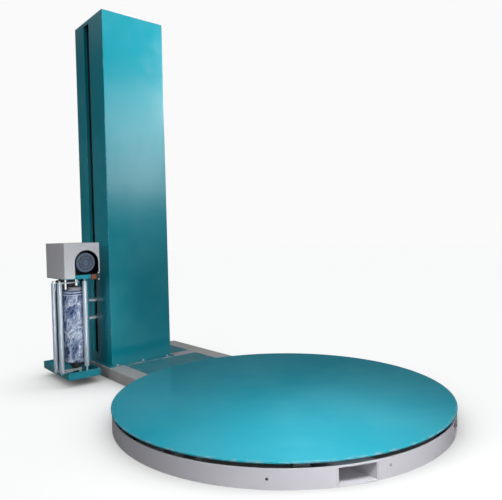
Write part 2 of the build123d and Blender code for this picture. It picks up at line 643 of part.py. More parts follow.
# ---------------------------------------------------------------- mast
def mast_base_flange():
    reach, inside = FLANGE_REACH, FLANGE_INSIDE
    plate = block(MAST_LEFT - reach, MAST_RIGHT + reach, MAST_FRONT - reach, MAST_BACK + reach,
                  BEAM_HEIGHT, MAST_BASE)
    plate -= block(MAST_LEFT + inside, MAST_RIGHT - inside, MAST_FRONT + inside, MAST_BACK - inside,
                   BEAM_HEIGHT - 1, MAST_BASE + 1)
    sill = block(MAST_LEFT, MAST_LEFT + MAST_SHEET, SLOT_FRONT, SLOT_BACK, MAST_BASE, SLOT_BOTTOM)
    return plate + sill


def flange_bolt_places():
    xs = (MAST_LEFT + FLANGE_BOLT_SIDE, MAST_X, MAST_RIGHT - FLANGE_BOLT_SIDE)
    rows = (MAST_FRONT - FLANGE_REACH / 2, MAST_BACK + FLANGE_REACH / 2)
    return [(x, y) for y in rows for x in xs]


def mast_anchor_bolts():
    bolts = []
    for x, y in flange_bolt_places():
        washer_top = MAST_BASE + WASHER_THICKNESS
        head = Pos(x, y, washer_top) * extrude(RegularPolygon(BOLT_HEAD_RADIUS, 6), BOLT_HEAD_HEIGHT)
        washer = rod_z(x, y, MAST_BASE, washer_top, WASHER_RADIUS)
        bolts.append(head + washer)
    return bolts


def mast_shell():
    """Right side, front and front-left strip of the mast, folded from one sheet."""
    t, z0, z1 = MAST_SHEET, MAST_BASE, MAST_TOP - MAST_SHEET
    front = block(MAST_LEFT, MAST_RIGHT, MAST_FRONT, MAST_FRONT + t, z0, z1)
    strip = block(MAST_LEFT, MAST_LEFT + t, MAST_FRONT, SLOT_FRONT, z0, z1)
    lip = block(MAST_LEFT, MAST_LEFT + SLOT_LIP, SLOT_FRONT - t, SLOT_FRONT, z0, z1)
    right = block(MAST_RIGHT - t, MAST_RIGHT, MAST_FRONT, MAST_BACK - t, z0, z1)
    turn = block(MAST_RIGHT - 22, MAST_RIGHT, MAST_BACK - 2 * t, MAST_BACK - t, z0, z1)
    shell = front + strip + lip + right + turn
    outer = [(MAST_LEFT, MAST_FRONT), (MAST_RIGHT, MAST_FRONT)]
    shell = round_vertical(shell, MAST_BEND, outer)
    return round_vertical(shell, 2.0, [(MAST_LEFT, SLOT_FRONT)])


def mast_rear_cover():
    """Back panel and rear-left strip of the mast, folded from one sheet."""
    t, z0, z1 = MAST_SHEET, MAST_BASE, MAST_TOP - MAST_SHEET
    back = block(MAST_LEFT, MAST_RIGHT, MAST_BACK - t, MAST_BACK, z0, z1)
    strip = block(MAST_LEFT, MAST_LEFT + t, SLOT_BACK, MAST_BACK, z0, z1)
    lip = block(MAST_LEFT, MAST_LEFT + SLOT_LIP, SLOT_BACK, SLOT_BACK + t, z0, z1)
    cover = back + strip + lip
    cover = round_vertical(cover, MAST_BEND, [(MAST_LEFT, MAST_BACK)])
    return round_vertical(cover, 2.0, [(MAST_LEFT, SLOT_BACK)])


def mast_top_cap():
    t = MAST_SHEET
    cap = block(MAST_LEFT, MAST_RIGHT, MAST_FRONT, MAST_BACK, MAST_TOP - t, MAST_TOP)
    corners = [(x, y) for x in (MAST_LEFT, MAST_RIGHT) for y in (MAST_FRONT, MAST_BACK)]
    cap = round_vertical(cap, MAST_BEND, corners)
    closer = block(MAST_LEFT, MAST_LEFT + t, SLOT_FRONT, SLOT_BACK, SLOT_TOP, MAST_TOP - t)
    return cap + closer


def guide_rails():
    """Two channels that face each other behind the slot, on welded stand-off blocks."""
    parts = []
    for side in (1, -1):
        open_y = SLOT_Y + side * RAIL_OPENING / 2
        web_y = open_y + side * RAIL_SIZE
        y0, y1 = sorted((open_y, web_y))
        rail = block(RAIL_X0, RAIL_X1, y0, y1, RAIL_Z0, RAIL_Z1)
        i0, i1 = sorted((open_y - side, web_y - side * RAIL_WALL))
        rail -= block(RAIL_X0 + RAIL_WALL, RAIL_X1 - RAIL_WALL, i0, i1, RAIL_Z0 - 1, RAIL_Z1 + 1)
        parts.append(rail)
        span = RAIL_Z1 - RAIL_Z0 - 2 * STANDOFF_MARGIN
        for i in range(STANDOFF_COUNT):
            z = RAIL_Z0 + STANDOFF_MARGIN + span * i / (STANDOFF_COUNT - 1)
            parts.append(block(MAST_LEFT + MAST_SHEET, RAIL_X0, y0 + 6, y1 - 6,
                               z - STANDOFF_HALF, z + STANDOFF_HALF))
    return parts


# ---------------------------------------------------------------- drives
def motor_along_y(x, y0, y1, z, radius):
    """Finned motor body lying along Y, with a terminal box on top."""
    body = rod_y(x, y0, y1, z, radius)
    fins = 20
    length = abs(y1 - y0)
    for i in range(fins):
        a = 360 / fins * i
        notch = Pos(x, (y0 + y1) / 2, z) * Rot(0, a, 0) * Pos(0, 0, radius) * Box(4, length * 0.6, 8)
        body -= notch
    return body


def table_gearmotor():
    half_width, half_length, height = 65, 75, 150
    back = DRIVE_Y + half_length
    gearbox = block(DRIVE_X - half_width, DRIVE_X + half_width, DRIVE_Y - half_length, back,
                    MAST_BASE, MAST_BASE + height)
    gearbox = fillet(gearbox.edges().filter_by(Axis.Z), 14)
    shaft_room = DRIVE_SHAFT_RADIUS + 3
    gearbox -= rod_z(DRIVE_X, DRIVE_Y, MAST_BASE - 1, MAST_BASE + 60, shaft_room)
    motor_z, motor_radius = MAST_BASE + 78, 68
    motor = motor_along_y(DRIVE_X, back, MAST_BACK - MAST_SHEET - 12, motor_z, motor_radius)
    terminals = block(DRIVE_X - 45, DRIVE_X + 45, back + 35, back + 125, motor_z + motor_radius,
                      motor_z + motor_radius + 40)
    return [gearbox, motor, terminals]


def table_drive_sprocket():
    """Small sprocket on the shaft that comes down out of the gearbox."""
    wheel = sprocket(DRIVE_TEETH, DRIVE_PITCH_RADIUS, DRIVE_SHAFT_RADIUS)
    wheel = Pos(DRIVE_X, DRIVE_Y, TABLE_CHAIN_Z) * wheel
    shaft_low = TABLE_CHAIN_Z - SPROCKET_THICKNESS / 2 - 4
    shaft = rod_z(DRIVE_X, DRIVE_Y, shaft_low, MAST_BASE + 50, DRIVE_SHAFT_RADIUS)
    return wheel + shaft


def table_chain():
    loop = chain_loop((0, 0), TABLE_PITCH_RADIUS, (DRIVE_X, DRIVE_Y), DRIVE_PITCH_RADIUS)
    return Pos(0, 0, TABLE_CHAIN_Z) * loop


def lift_mount(z, half_height, hole):
    """Plate across both rails, on two spacers, that carries one end of the lift chain."""
    reach = RAIL_OPENING / 2 + RAIL_SIZE
    plate = block(MOUNT_X0, MOUNT_X1, SLOT_Y - reach, SLOT_Y + reach, z - half_height, z + half_height)
    plate -= rod_x(MOUNT_X0 - 1, MOUNT_X1 + 1, SLOT_Y, z, hole)
    parts = [plate]
    for side in (1, -1):
        y0, y1 = sorted((SLOT_Y + side * (reach - 30), SLOT_Y + side * reach))
        parts.append(block(RAIL_X1, MOUNT_X0, y0, y1, z - half_height, z + half_height))
    return parts


def lift_gearmotor():
    z, width, half_length = LIFT_TOP_Z, 100, 65
    gearbox = block(MOUNT_X1, MOUNT_X1 + width, SLOT_Y - half_length, SLOT_Y + half_length, z - 65, z + 75)
    gearbox = fillet(gearbox.edges().filter_by(Axis.X), 12)
    gearbox -= rod_x(MOUNT_X1 - 1, MOUNT_X1 + 60, SLOT_Y, z, LIFT_SHAFT_RADIUS + 1.2)
    motor = motor_along_y(MOUNT_X1 + 55, MAST_FRONT + MAST_SHEET + 14, SLOT_Y - half_length, z + 20, 52)
    return [gearbox, motor, *lift_mount(z, 80, 30)]


def lift_sprocket(z, shaft_start, shaft_end):
    wheel = sprocket(LIFT_TEETH, LIFT_PITCH_RADIUS, LIFT_SHAFT_RADIUS)
    wheel = Pos(LIFT_X, SLOT_Y, z) * Rot(0, 90, 0) * wheel
    return wheel + rod_x(shaft_start, shaft_end, SLOT_Y, z, LIFT_SHAFT_RADIUS)


def idler_bracket():
    return lift_mount(LIFT_LOW_Z, 45, LIFT_SHAFT_RADIUS + RUNNING_CLEARANCE)


def lift_chain():
    loop = chain_loop((0, 0), LIFT_PITCH_RADIUS, (LIFT_TOP_Z - LIFT_LOW_Z, 0), LIFT_PITCH_RADIUS)
    return Pos(LIFT_X, SLOT_Y, LIFT_LOW_Z) * Rot(0, -90, 0) * loop


# ---------------------------------------------------------------- control cabinet
def hinge_levels():
    return (CABINET_BOTTOM + HINGE_INSET, CABINET_TOP - HINGE_INSET)


def cabinet_body():
    """Sheet case with the fixed halves of two hinges and their pins."""
    t = CABINET_SHEET
    case = block(CABINET_LEFT, CABINET_RIGHT, CABINET_BACK, CABINET_FACE, CABINET_BOTTOM, CABINET_TOP)
    case = fillet(case.edges().filter_by(Axis.Y), 6)
    case -= block(CABINET_LEFT + t, CABINET_RIGHT - t, CABINET_BACK + t, CABINET_FACE + 1,
                  CABINET_BOTTOM + t, CABINET_TOP - t)
    for z in hinge_levels():
        low = z - HINGE_KNUCKLE
        case += block(CABINET_RIGHT, CABINET_RIGHT + 3, CABINET_FACE - 30, CABINET_FACE, low, z)
        case += block(CABINET_RIGHT + 1, CABINET_RIGHT + 4, CABINET_FACE - 2, HINGE_Y, low, z)
        case += rod_z(HINGE_X, HINGE_Y, low, z, HINGE_RADIUS)
        case += rod_z(HINGE_X, HINGE_Y, z, z + HINGE_KNUCKLE, HINGE_PIN)
    return case


def cabinet_door():
    """Folded door with its halves of the hinges and the cut-outs for the devices."""
    door = block(CABINET_LEFT, CABINET_RIGHT, DOOR_Y0, DOOR_Y1, CABINET_BOTTOM, CABINET_TOP)
    door = fillet(door.edges().filter_by(Axis.Y), 6)
    door = fillet(door.faces().sort_by(Axis.Y)[-1].edges(), 2.5)
    s = DOOR_SHEET
    door -= block(CABINET_LEFT + s, CABINET_RIGHT - s, DOOR_Y0 - 1, DOOR_Y1 - s,
                  CABINET_BOTTOM + s, CABINET_TOP - s)
    for x, z in device_places():
        door -= rod_y(x, DOOR_Y0 - 1, DOOR_Y1 + 1, z, STEM_RADIUS + STEM_CLEARANCE)
    half_w, half_h = DISPLAY_WIDTH / 2, DISPLAY_HEIGHT / 2
    door -= block(CABINET_X - half_w, CABINET_X + half_w, DOOR_Y1 - DISPLAY_RECESS, DOOR_Y1 + 1,
                  DISPLAY_Z - half_h, DISPLAY_Z + half_h)
    gap = 0.5
    leaf_y = HINGE_Y + HINGE_RADIUS
    for z in hinge_levels():
        z0, z1 = z + gap, z + HINGE_KNUCKLE
        door += block(CABINET_RIGHT - 2, HINGE_X, leaf_y - 3, leaf_y, z0, z1)
        door += rod_z(HINGE_X, HINGE_Y, z0, z1, HINGE_RADIUS)
        door -= rod_z(HINGE_X, HINGE_Y, z0 - 1, z1 + 1, HINGE_PIN + RUNNING_CLEARANCE)
    return door


def device_places():
    """Door cut-outs: x and z of each switch and button."""
    return [
        (ESTOP_X, BUTTON_ROW_Z),
        (START_X, BUTTON_ROW_Z),
        (STOP_X, BUTTON_ROW_Z),
        (CABINET_X, SWITCH_Z),
    ]


def push_button(x, z, head_radius, stand_off, head_length):
    """Button head outside the door on a stem through it."""
    head = rod_y(x, DOOR_Y1 + stand_off, DOOR_Y1 + stand_off + head_length, z, head_radius)
    rim = head.edges().filter_by(GeomType.CIRCLE).sort_by(Axis.Y)[-1]
    head = fillet(rim, min(3.0, head_length * 0.4))
    stem = rod_y(x, DOOR_Y0 - 14, DOOR_Y1 + stand_off, z, STEM_RADIUS)
    return head + stem


def main_switch():
    boss = rod_y(CABINET_X, DOOR_Y1 + 1, DOOR_Y1 + 9, SWITCH_Z, 27)
    lever = block(CABINET_X - 8, CABINET_X + 8, DOOR_Y1 + 9, DOOR_Y1 + 27, SWITCH_Z - 26, SWITCH_Z + 26)
    lever = fillet(lever.edges().filter_by(Axis.Y), 6)
    stem = rod_y(CABINET_X, DOOR_Y0 - 20, DOOR_Y1 + 1, SWITCH_Z, STEM_RADIUS)
    return boss + lever + stem


def display_panel():
    half_w, half_h = DISPLAY_WIDTH / 2 - 0.5, DISPLAY_HEIGHT / 2 - 0.5
    panel = block(CABINET_X - half_w, CABINET_X + half_w, DOOR_Y1 - DISPLAY_RECESS, DOOR_Y1 + 4,
                  DISPLAY_Z - half_h, DISPLAY_Z + half_h)
    return fillet(panel.edges().filter_by(Axis.Y), 4)


# ---------------------------------------------------------------- trolley and carriage frame
def trolley_half_width():
    return RAIL_OPENING / 2 + TROLLEY_BITE


def trolley_plate():
    """Plate that rides between the rails, with the block that clamps the lift chain."""
    half = trolley_half_width()
    z0, z1 = TROLLEY_Z - TROLLEY_HEIGHT / 2, TROLLEY_Z + TROLLEY_HEIGHT / 2
    plate = block(TROLLEY_X0, TROLLEY_X1, SLOT_Y - half, SLOT_Y + half, z0, z1)
    clamp_y0 = SLOT_Y - RAIL_OPENING / 2 + 2 * SHOE_CLEARANCE
    clamp_y1 = SLOT_Y - LIFT_PITCH_RADIUS + 16
    clamp_x1 = LIFT_X - CHAIN_WIDTH / 2 - 1.5
    return plate + block(TROLLEY_X1, clamp_x1, clamp_y0, clamp_y1, TROLLEY_Z - 30, TROLLEY_Z + 30)


def guide_shoes():
    """Four plastic shoes that fit the rails and grip the trolley plate's corners."""
    shoes = []
    half_x = RAIL_SIZE / 2 - RAIL_WALL - SHOE_CLEARANCE
    for side in (1, -1):
        inner = SLOT_Y + side * (RAIL_OPENING / 2 - 1)
        outer = SLOT_Y + side * (RAIL_OPENING / 2 + RAIL_SIZE - RAIL_WALL - SHOE_CLEARANCE)
        y0, y1 = sorted((inner, outer))
        for end in (1, -1):
            z_edge = TROLLEY_Z + end * TROLLEY_HEIGHT / 2
            z0, z1 = sorted((z_edge, z_edge - end * SHOE_HEIGHT))
            shoes.append(block(RAIL_X - half_x, RAIL_X + half_x, y0, y1, z0, z1) - trolley_plate())
    return shoes


def carriage_arms():
    """Two flat bars that reach out through the slot to the carriage post."""
    bars = []
    for z in (ARM_LOW_Z, ARM_HIGH_Z):
        bar = block(POST_WEB, TROLLEY_X0, SLOT_Y - ARM_WIDTH / 2, SLOT_Y + ARM_WIDTH / 2,
                    z - ARM_THICKNESS / 2, z + ARM_THICKNESS / 2)
        bars.append(chamfer(bar.edges().filter_by(Axis.X), 1.5))
    return bars


def carriage_post():
    """Upright channel that joins the tray to the top plate."""
    t = TRAY_SHEET
    post = block(TRAY_RIGHT, POST_WEB, POST_FRONT, POST_BACK, TRAY_BOTTOM, TOP_PLATE_Z)
    post -= block(TRAY_RIGHT - 1, POST_WEB - t, POST_FRONT + t, POST_BACK - t,
                  TRAY_BOTTOM - 1, TOP_PLATE_Z + 1)
    return post


def carriage_tray():
    t, z0, z1 = TRAY_SHEET, TRAY_BOTTOM, TRAY_TOP
    tray = block(TRAY_LEFT, TRAY_RIGHT, TRAY_FRONT, TRAY_BACK, z0, z1)
    corners = [(x, y) for x in (TRAY_LEFT, TRAY_RIGHT) for y in (TRAY_FRONT, TRAY_BACK)]
    tray = round_vertical(tray, 5.0, corners)
    low = tray.edges().filter_by(Plane.XY).group_by(Axis.Z)[0]
    tray = fillet(low, 3.0)
    return tray - block(TRAY_LEFT + t, TRAY_RIGHT - t, TRAY_FRONT + t, TRAY_BACK - t, z0 + t, z1 + 1)


def carriage_top_plate():
    """Plate that carries the head, bolted on the post, with holes for the roller journals."""
    z0, z1 = TOP_PLATE_Z, TOP_PLATE_Z + TOP_PLATE_THICKNESS
    plate = block(HEAD_LEFT, HEAD_RIGHT, HEAD_FRONT, HEAD_BACK, z0, z1)
    plate += block(TRAY_RIGHT, POST_WEB, POST_FRONT, POST_BACK, z0, z1)
    plate += block(HEAD_LEFT + HEAD_SHEET + 1, HEAD_RIGHT - HEAD_SHEET - 1, RIM_Y, RIM_Y + RIM_THICKNESS,
                   z0, z0 + TOP_FLANGE)
    plate -= rod_y(KNOB_X, RIM_Y - 1, RIM_Y + RIM_THICKNESS + 1, KNOB_Z, KNOB_STEM + RUNNING_CLEARANCE)
    holes = [
        (SLOW_X, STRETCH_Y, STRETCH_JOURNAL + RUNNING_CLEARANCE),
        (FAST_X, STRETCH_Y, STRETCH_JOURNAL + RUNNING_CLEARANCE),
        (IDLER_X, IDLER_Y, PIN_RADIUS + RUNNING_CLEARANCE),
        (DANCER_X, DANCER_Y, PIN_RADIUS + RUNNING_CLEARANCE),
    ]
    for x, y, r in holes:
        plate -= rod_z(x, y, z0 - 1, z1 + 1, r)
    return plate


def head_cover():
    """Folded cover over the pre-stretch drive, with an arched window for the motor's fan."""
    s = HEAD_SHEET
    cover = block(HEAD_LEFT, HEAD_RIGHT, HEAD_FRONT, HEAD_BACK, HEAD_BOTTOM, HEAD_TOP)
    edges = cover.edges().filter_by(Axis.Z) + cover.edges().group_by(Axis.Z)[-1]
    cover = fillet(edges, 3.0)
    cover -= block(HEAD_LEFT + s, HEAD_RIGHT - s, HEAD_FRONT + s, HEAD_BACK - s,
                   HEAD_BOTTOM - 1, HEAD_TOP - s)
    half = WINDOW_WIDTH / 2
    spring = WINDOW_TOP - half
    cover -= rod_y(WINDOW_X, HEAD_FRONT - 1, HEAD_FRONT + s + 1, spring, half)
    return cover - block(WINDOW_X - half, WINDOW_X + half, HEAD_FRONT - 1, HEAD_FRONT + s + 1,
                         HEAD_BOTTOM - 1, spring)


# ---------------------------------------------------------------- pre-stretch drive
def stretch_motor():
    """Motor with its domed fan cover towards the window."""
    cover = rod_y(MOTOR_X, FAN_FRONT, FAN_FRONT + FAN_LENGTH, MOTOR_Z, FAN_COVER_RADIUS)
    rim = cover.edges().filter_by(GeomType.CIRCLE).sort_by(Axis.Y)[0]
    cover = fillet(rim, 9.0)
    body = motor_along_y(MOTOR_X, FAN_FRONT + FAN_LENGTH, MOTOR_END, MOTOR_Z, MOTOR_RADIUS)
    return [cover, body]


def stretch_gearbox():
    """Worm gearbox between the motor and the pinion."""
    half, boss_z = GEARBOX_HALF, GEARBOX_Z0 - GEARBOX_BOSS
    case = block(PINION_X - half, MOTOR_X + half, MOTOR_END, PINION_Y + half, GEARBOX_Z0, MOTOR_Z + half)
    case = fillet(case.edges().filter_by(Axis.Z), 10)
    case += rod_z(PINION_X, PINION_Y, boss_z, GEARBOX_Z0, 24)
    bore = PINION_SHAFT_RADIUS + RUNNING_CLEARANCE
    return case - rod_z(PINION_X, PINION_Y, boss_z - 1, GEARBOX_Z0 + 60, bore)


def stretch_pinion():
    # the pinion has a gap where the slow gear has a tooth
    first = PINION_ANGLE + 180 + 180 / PINION_TEETH
    wheel = gear(PINION_TEETH, PINION_X, PINION_Y, first, PINION_SHAFT_RADIUS)
    return wheel + rod_z(PINION_X, PINION_Y, GEAR_Z, GEARBOX_Z0 + 55, PINION_SHAFT_RADIUS)


def stretch_roller(x, teeth, first_tooth):
    """Rubber-faced roller with a turned journal at each end, and its gear."""
    body = rod_z(x, STRETCH_Y, ROLLER_BOTTOM, ROLLER_TOP, STRETCH_RADIUS)
    body = chamfer(body.edges().filter_by(GeomType.CIRCLE), 2.0)
    shaft_top = GEAR_Z + GEAR_THICKNESS + 4
    body += rod_z(x, STRETCH_Y, TRAY_FLOOR + PIN_END_GAP, shaft_top, STRETCH_JOURNAL)
    return [body, gear(teeth, x, STRETCH_Y, first_tooth, STRETCH_JOURNAL)]


# ---------------------------------------------------------------- film and loose rollers
def film_mandrel():
    """Black holder that stands in the tray on a stub and centres the core."""
    z_core = FILM_BOTTOM - CORE_FOOT
    z_flange = z_core - MANDREL_FLANGE
    stub = rod_z(FILM_X, FILM_Y, TRAY_FLOOR + PIN_END_GAP, z_flange, MANDREL_STUB)
    flange = rod_z(FILM_X, FILM_Y, z_flange, z_core, CORE_RADIUS + MANDREL_RIM)
    flange = fillet(flange.edges().filter_by(GeomType.CIRCLE), 3)
    plug_top = FILM_TOP + CORE_HEAD + MANDREL_LEAD
    plug = rod_z(FILM_X, FILM_Y, z_core, plug_top, CORE_RADIUS - CORE_WALL - MANDREL_FIT)
    plug = chamfer(plug.edges().filter_by(GeomType.CIRCLE).sort_by(Axis.Z)[-1], 6)
    return stub + flange + plug


def film_core():
    z0, z1 = FILM_BOTTOM - CORE_FOOT, FILM_TOP + CORE_HEAD
    bore = rod_z(FILM_X, FILM_Y, z0 - 1, z1 + 1, CORE_RADIUS - CORE_WALL)
    return rod_z(FILM_X, FILM_Y, z0, z1, CORE_RADIUS) - bore


def film_roll():
    roll = rod_z(FILM_X, FILM_Y, FILM_BOTTOM, FILM_TOP, FILM_RADIUS)
    return roll - rod_z(FILM_X, FILM_Y, FILM_BOTTOM - 1, FILM_TOP + 1, CORE_RADIUS)


def film_web():
    """Threaded film from the slow roller towards the dancer, short of the dancer's swing."""
    start = (SLOW_X - STRETCH_RADIUS - WEB_GAP, STRETCH_Y)
    roller = (OUTER_ROLLER[0] + OUTER_ROLLER_RADIUS + WEB_GAP, OUTER_ROLLER[1])
    length = math.dist(start, roller)
    along = ((roller[0] - start[0]) / length, (roller[1] - start[1]) / length)
    end = (start[0] + along[0] * WEB_REACH * length, start[1] + along[1] * WEB_REACH * length)
    side = (-along[1] * FILM_THICKNESS, along[0] * FILM_THICKNESS)
    corners = [start, end, (end[0] - side[0], end[1] - side[1]), (start[0] - side[0], start[1] - side[1])]
    return Pos(0, 0, FILM_BOTTOM) * extrude(make_face(Polyline(*corners, close=True)), FILM_WIDTH)


def dancer_level(z):
    """One flat arm: from the pivot out to both rollers."""
    w, t = DANCER_ARM_WIDTH, DANCER_ARM_THICKNESS
    pivot = (DANCER_X, DANCER_Y)
    arm = None
    for end in (OUTER_ROLLER, INNER_ROLLER):
        length = math.dist(pivot, end)
        heading = math.degrees(math.atan2(end[1] - pivot[1], end[0] - pivot[0]))
        strip = Pos(*pivot) * Rot(0, 0, heading) * Pos(length / 2, 0) * SlotCenterToCenter(length, w)
        arm = strip if arm is None else arm + strip
    for place in (OUTER_ROLLER, INNER_ROLLER):
        arm -= Pos(*place) * Circle(PIN_RADIUS + RUNNING_CLEARANCE)
    return Pos(0, 0, z) * extrude(arm, t)


def dancer_arms():
    """Both levels of the dancer, each with its own short pivot pin."""
    low = dancer_level(DANCER_LOW_Z)
    low_top = DANCER_LOW_Z + DANCER_ARM_THICKNESS
    low += rod_z(DANCER_X, DANCER_Y, TRAY_FLOOR + PIN_END_GAP, low_top + 6, PIVOT_RADIUS)
    high = dancer_level(DANCER_HIGH_Z)
    high_top = DANCER_HIGH_Z + DANCER_ARM_THICKNESS
    high += rod_z(DANCER_X, DANCER_Y, high_top, HEAD_BOTTOM + 6, PIN_RADIUS)
    return [low, high]


def dancer_roller(place, radius):
    x, y = place
    low_end = DANCER_LOW_Z - DANCER_PIN_DROP
    high_end = DANCER_HIGH_Z + DANCER_ARM_THICKNESS + DANCER_PIN_RISE
    z0 = DANCER_LOW_Z + DANCER_ARM_THICKNESS + ROLLER_END_GAP
    z1 = DANCER_HIGH_Z - ROLLER_END_GAP
    return plain_roller(x, y, radius, z0, z1, PIN_RADIUS, low_end, high_end)


def idler_roller():
    return plain_roller(IDLER_X, IDLER_Y, IDLER_RADIUS, ROLLER_BOTTOM, ROLLER_TOP, PIN_RADIUS,
                        TRAY_FLOOR + PIN_END_GAP, HEAD_BOTTOM + 3)


def tension_knob():
    """Round knob in front of the head's window, on a stem through the top plate's rim."""
    back = HEAD_FRONT - KNOB_STANDOFF
    front = back - KNOB_LENGTH
    grip = rod_y(KNOB_X, front, back, KNOB_Z, KNOB_RADIUS)
    for i in range(KNOB_NOTCHES):
        a = 2 * math.pi * i / KNOB_NOTCHES
        cx = KNOB_X + (KNOB_RADIUS + 1.5) * math.cos(a)
        cz = KNOB_Z + (KNOB_RADIUS + 1.5) * math.sin(a)
        grip -= rod_y(cx, front - 1, back + 1, cz, 3)
    stem_end = RIM_Y + RIM_THICKNESS + 4
    return grip + rod_y(KNOB_X, back, stem_end, KNOB_Z, KNOB_STEM)


def main():
    os.makedirs("parts", exist_ok=True)

    save("base_ring", base_ring())
    save("fork_pockets", *fork_pockets())
    save("base_cross_members", *base_cross_members())
    save("center_hub", *center_hub())
    brackets = []
    for name, x, y, heading in wheel_places():
        place = Pos(x, y, 0) * Rot(0, 0, heading)
        brackets.append(place * wheel_bracket())
        save(name, *[place * s for s in support_wheel()])
    save("wheel_brackets", *brackets)

    save("turntable_disc", turntable_disc())
    save("table_spindle", table_spindle())
    save("table_sprocket", *table_sprocket())

    save("side_beams", *side_beams())
    save("floor_covers", *floor_covers())

    save("mast_base_flange", mast_base_flange())
    save("mast_anchor_bolts", *mast_anchor_bolts())
    save("mast_shell", mast_shell())
    save("mast_rear_cover", mast_rear_cover())
    save("mast_top_cap", mast_top_cap())
    save("guide_rails", *guide_rails())

    save("table_gearmotor", *table_gearmotor())
    save("table_drive_sprocket", table_drive_sprocket())
    save("table_chain", table_chain())
    save("lift_gearmotor", *lift_gearmotor())
    save("lift_drive_sprocket", lift_sprocket(LIFT_TOP_Z, LIFT_X - 8, MOUNT_X1 + 50))
    save("lift_idler_sprocket", lift_sprocket(LIFT_LOW_Z, LIFT_X - 8, MOUNT_X1 + 6))
    save("idler_bracket", *idler_bracket())
    save("lift_chain", lift_chain())

    save("cabinet_body", cabinet_body())
    save("cabinet_door", cabinet_door())
    save("main_switch", main_switch())
    save("estop_button", push_button(ESTOP_X, BUTTON_ROW_Z, 20, 14, 12))
    save("start_button", push_button(START_X, BUTTON_ROW_Z, 14, 6, 8))
    save("stop_button", push_button(STOP_X, BUTTON_ROW_Z, 14, 6, 8))
    save("display_panel", display_panel())

    save("trolley_plate", trolley_plate())
    save("guide_shoes", *guide_shoes())
    save("carriage_arms", *carriage_arms())
    save("carriage_post", carriage_post())
    save("carriage_tray", carriage_tray())
    save("carriage_top_plate", carriage_top_plate())
    save("head_cover", head_cover())
    save("stretch_motor", *stretch_motor())
    save("stretch_gearbox", stretch_gearbox())
    save("stretch_pinion", stretch_pinion())
    save("slow_stretch_roller", *stretch_roller(SLOW_X, SLOW_TEETH, 0))
    save("fast_stretch_roller", *stretch_roller(FAST_X, FAST_TEETH, 180 + 180 / FAST_TEETH))
    save("idler_roller", idler_roller())
    save("film_mandrel", film_mandrel())
    save("film_core", film_core())
    save("film_roll", film_roll())
    save("film_web", film_web())
    save("dancer_arms", *dancer_arms())
    save("outer_dancer_roller", dancer_roller(OUTER_ROLLER, OUTER_ROLLER_RADIUS))
    save("inner_dancer_roller", dancer_roller(INNER_ROLLER, INNER_ROLLER_RADIUS))
    save("tension_knob", tension_knob())


main()
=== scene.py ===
import json
import math

import bmesh
import bpy
from mathutils import Matrix, Vector, noise


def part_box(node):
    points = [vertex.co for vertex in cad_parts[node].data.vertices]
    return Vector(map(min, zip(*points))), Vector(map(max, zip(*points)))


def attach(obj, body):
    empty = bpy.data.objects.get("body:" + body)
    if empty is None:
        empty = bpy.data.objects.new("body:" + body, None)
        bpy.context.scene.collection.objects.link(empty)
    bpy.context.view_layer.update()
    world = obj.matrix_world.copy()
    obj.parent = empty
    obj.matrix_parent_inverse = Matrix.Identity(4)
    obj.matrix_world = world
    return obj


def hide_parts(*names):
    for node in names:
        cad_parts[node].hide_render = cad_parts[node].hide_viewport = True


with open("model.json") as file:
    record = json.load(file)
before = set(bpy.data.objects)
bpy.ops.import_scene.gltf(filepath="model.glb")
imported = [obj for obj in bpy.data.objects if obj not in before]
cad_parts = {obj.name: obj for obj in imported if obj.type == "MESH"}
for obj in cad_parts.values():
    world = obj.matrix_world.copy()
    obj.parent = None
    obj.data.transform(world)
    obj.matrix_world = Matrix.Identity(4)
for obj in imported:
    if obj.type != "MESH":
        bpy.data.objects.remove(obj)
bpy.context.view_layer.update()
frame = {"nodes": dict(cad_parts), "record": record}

NODES = frame["nodes"]
RECORD = frame["record"]
BODY_OF = {node: body for body, nodes in RECORD["behaviour"]["bodies"].items() for node in nodes}
SLOT_OF = {entry["node"]: entry["material_slot"] for entry in RECORD["subparts"]}
MM = 0.001
BACKDROP = 0.955          # grey level of the plain background


# ------------------------------------------------------------------ shader helpers
def empty_tree(owner):
    """The cleared node tree of a material or world."""
    owner.use_nodes = True
    owner.node_tree.nodes.clear()
    return owner.node_tree


def fill_ramp(ramp, stops):
    """Sets a colour ramp to (place, colour) stops."""
    while len(ramp.elements) < len(stops):
        ramp.elements.new(1.0)
    for element, (place, colour) in zip(ramp.elements, stops):
        element.position = place
        element.color = (*colour, 1.0)


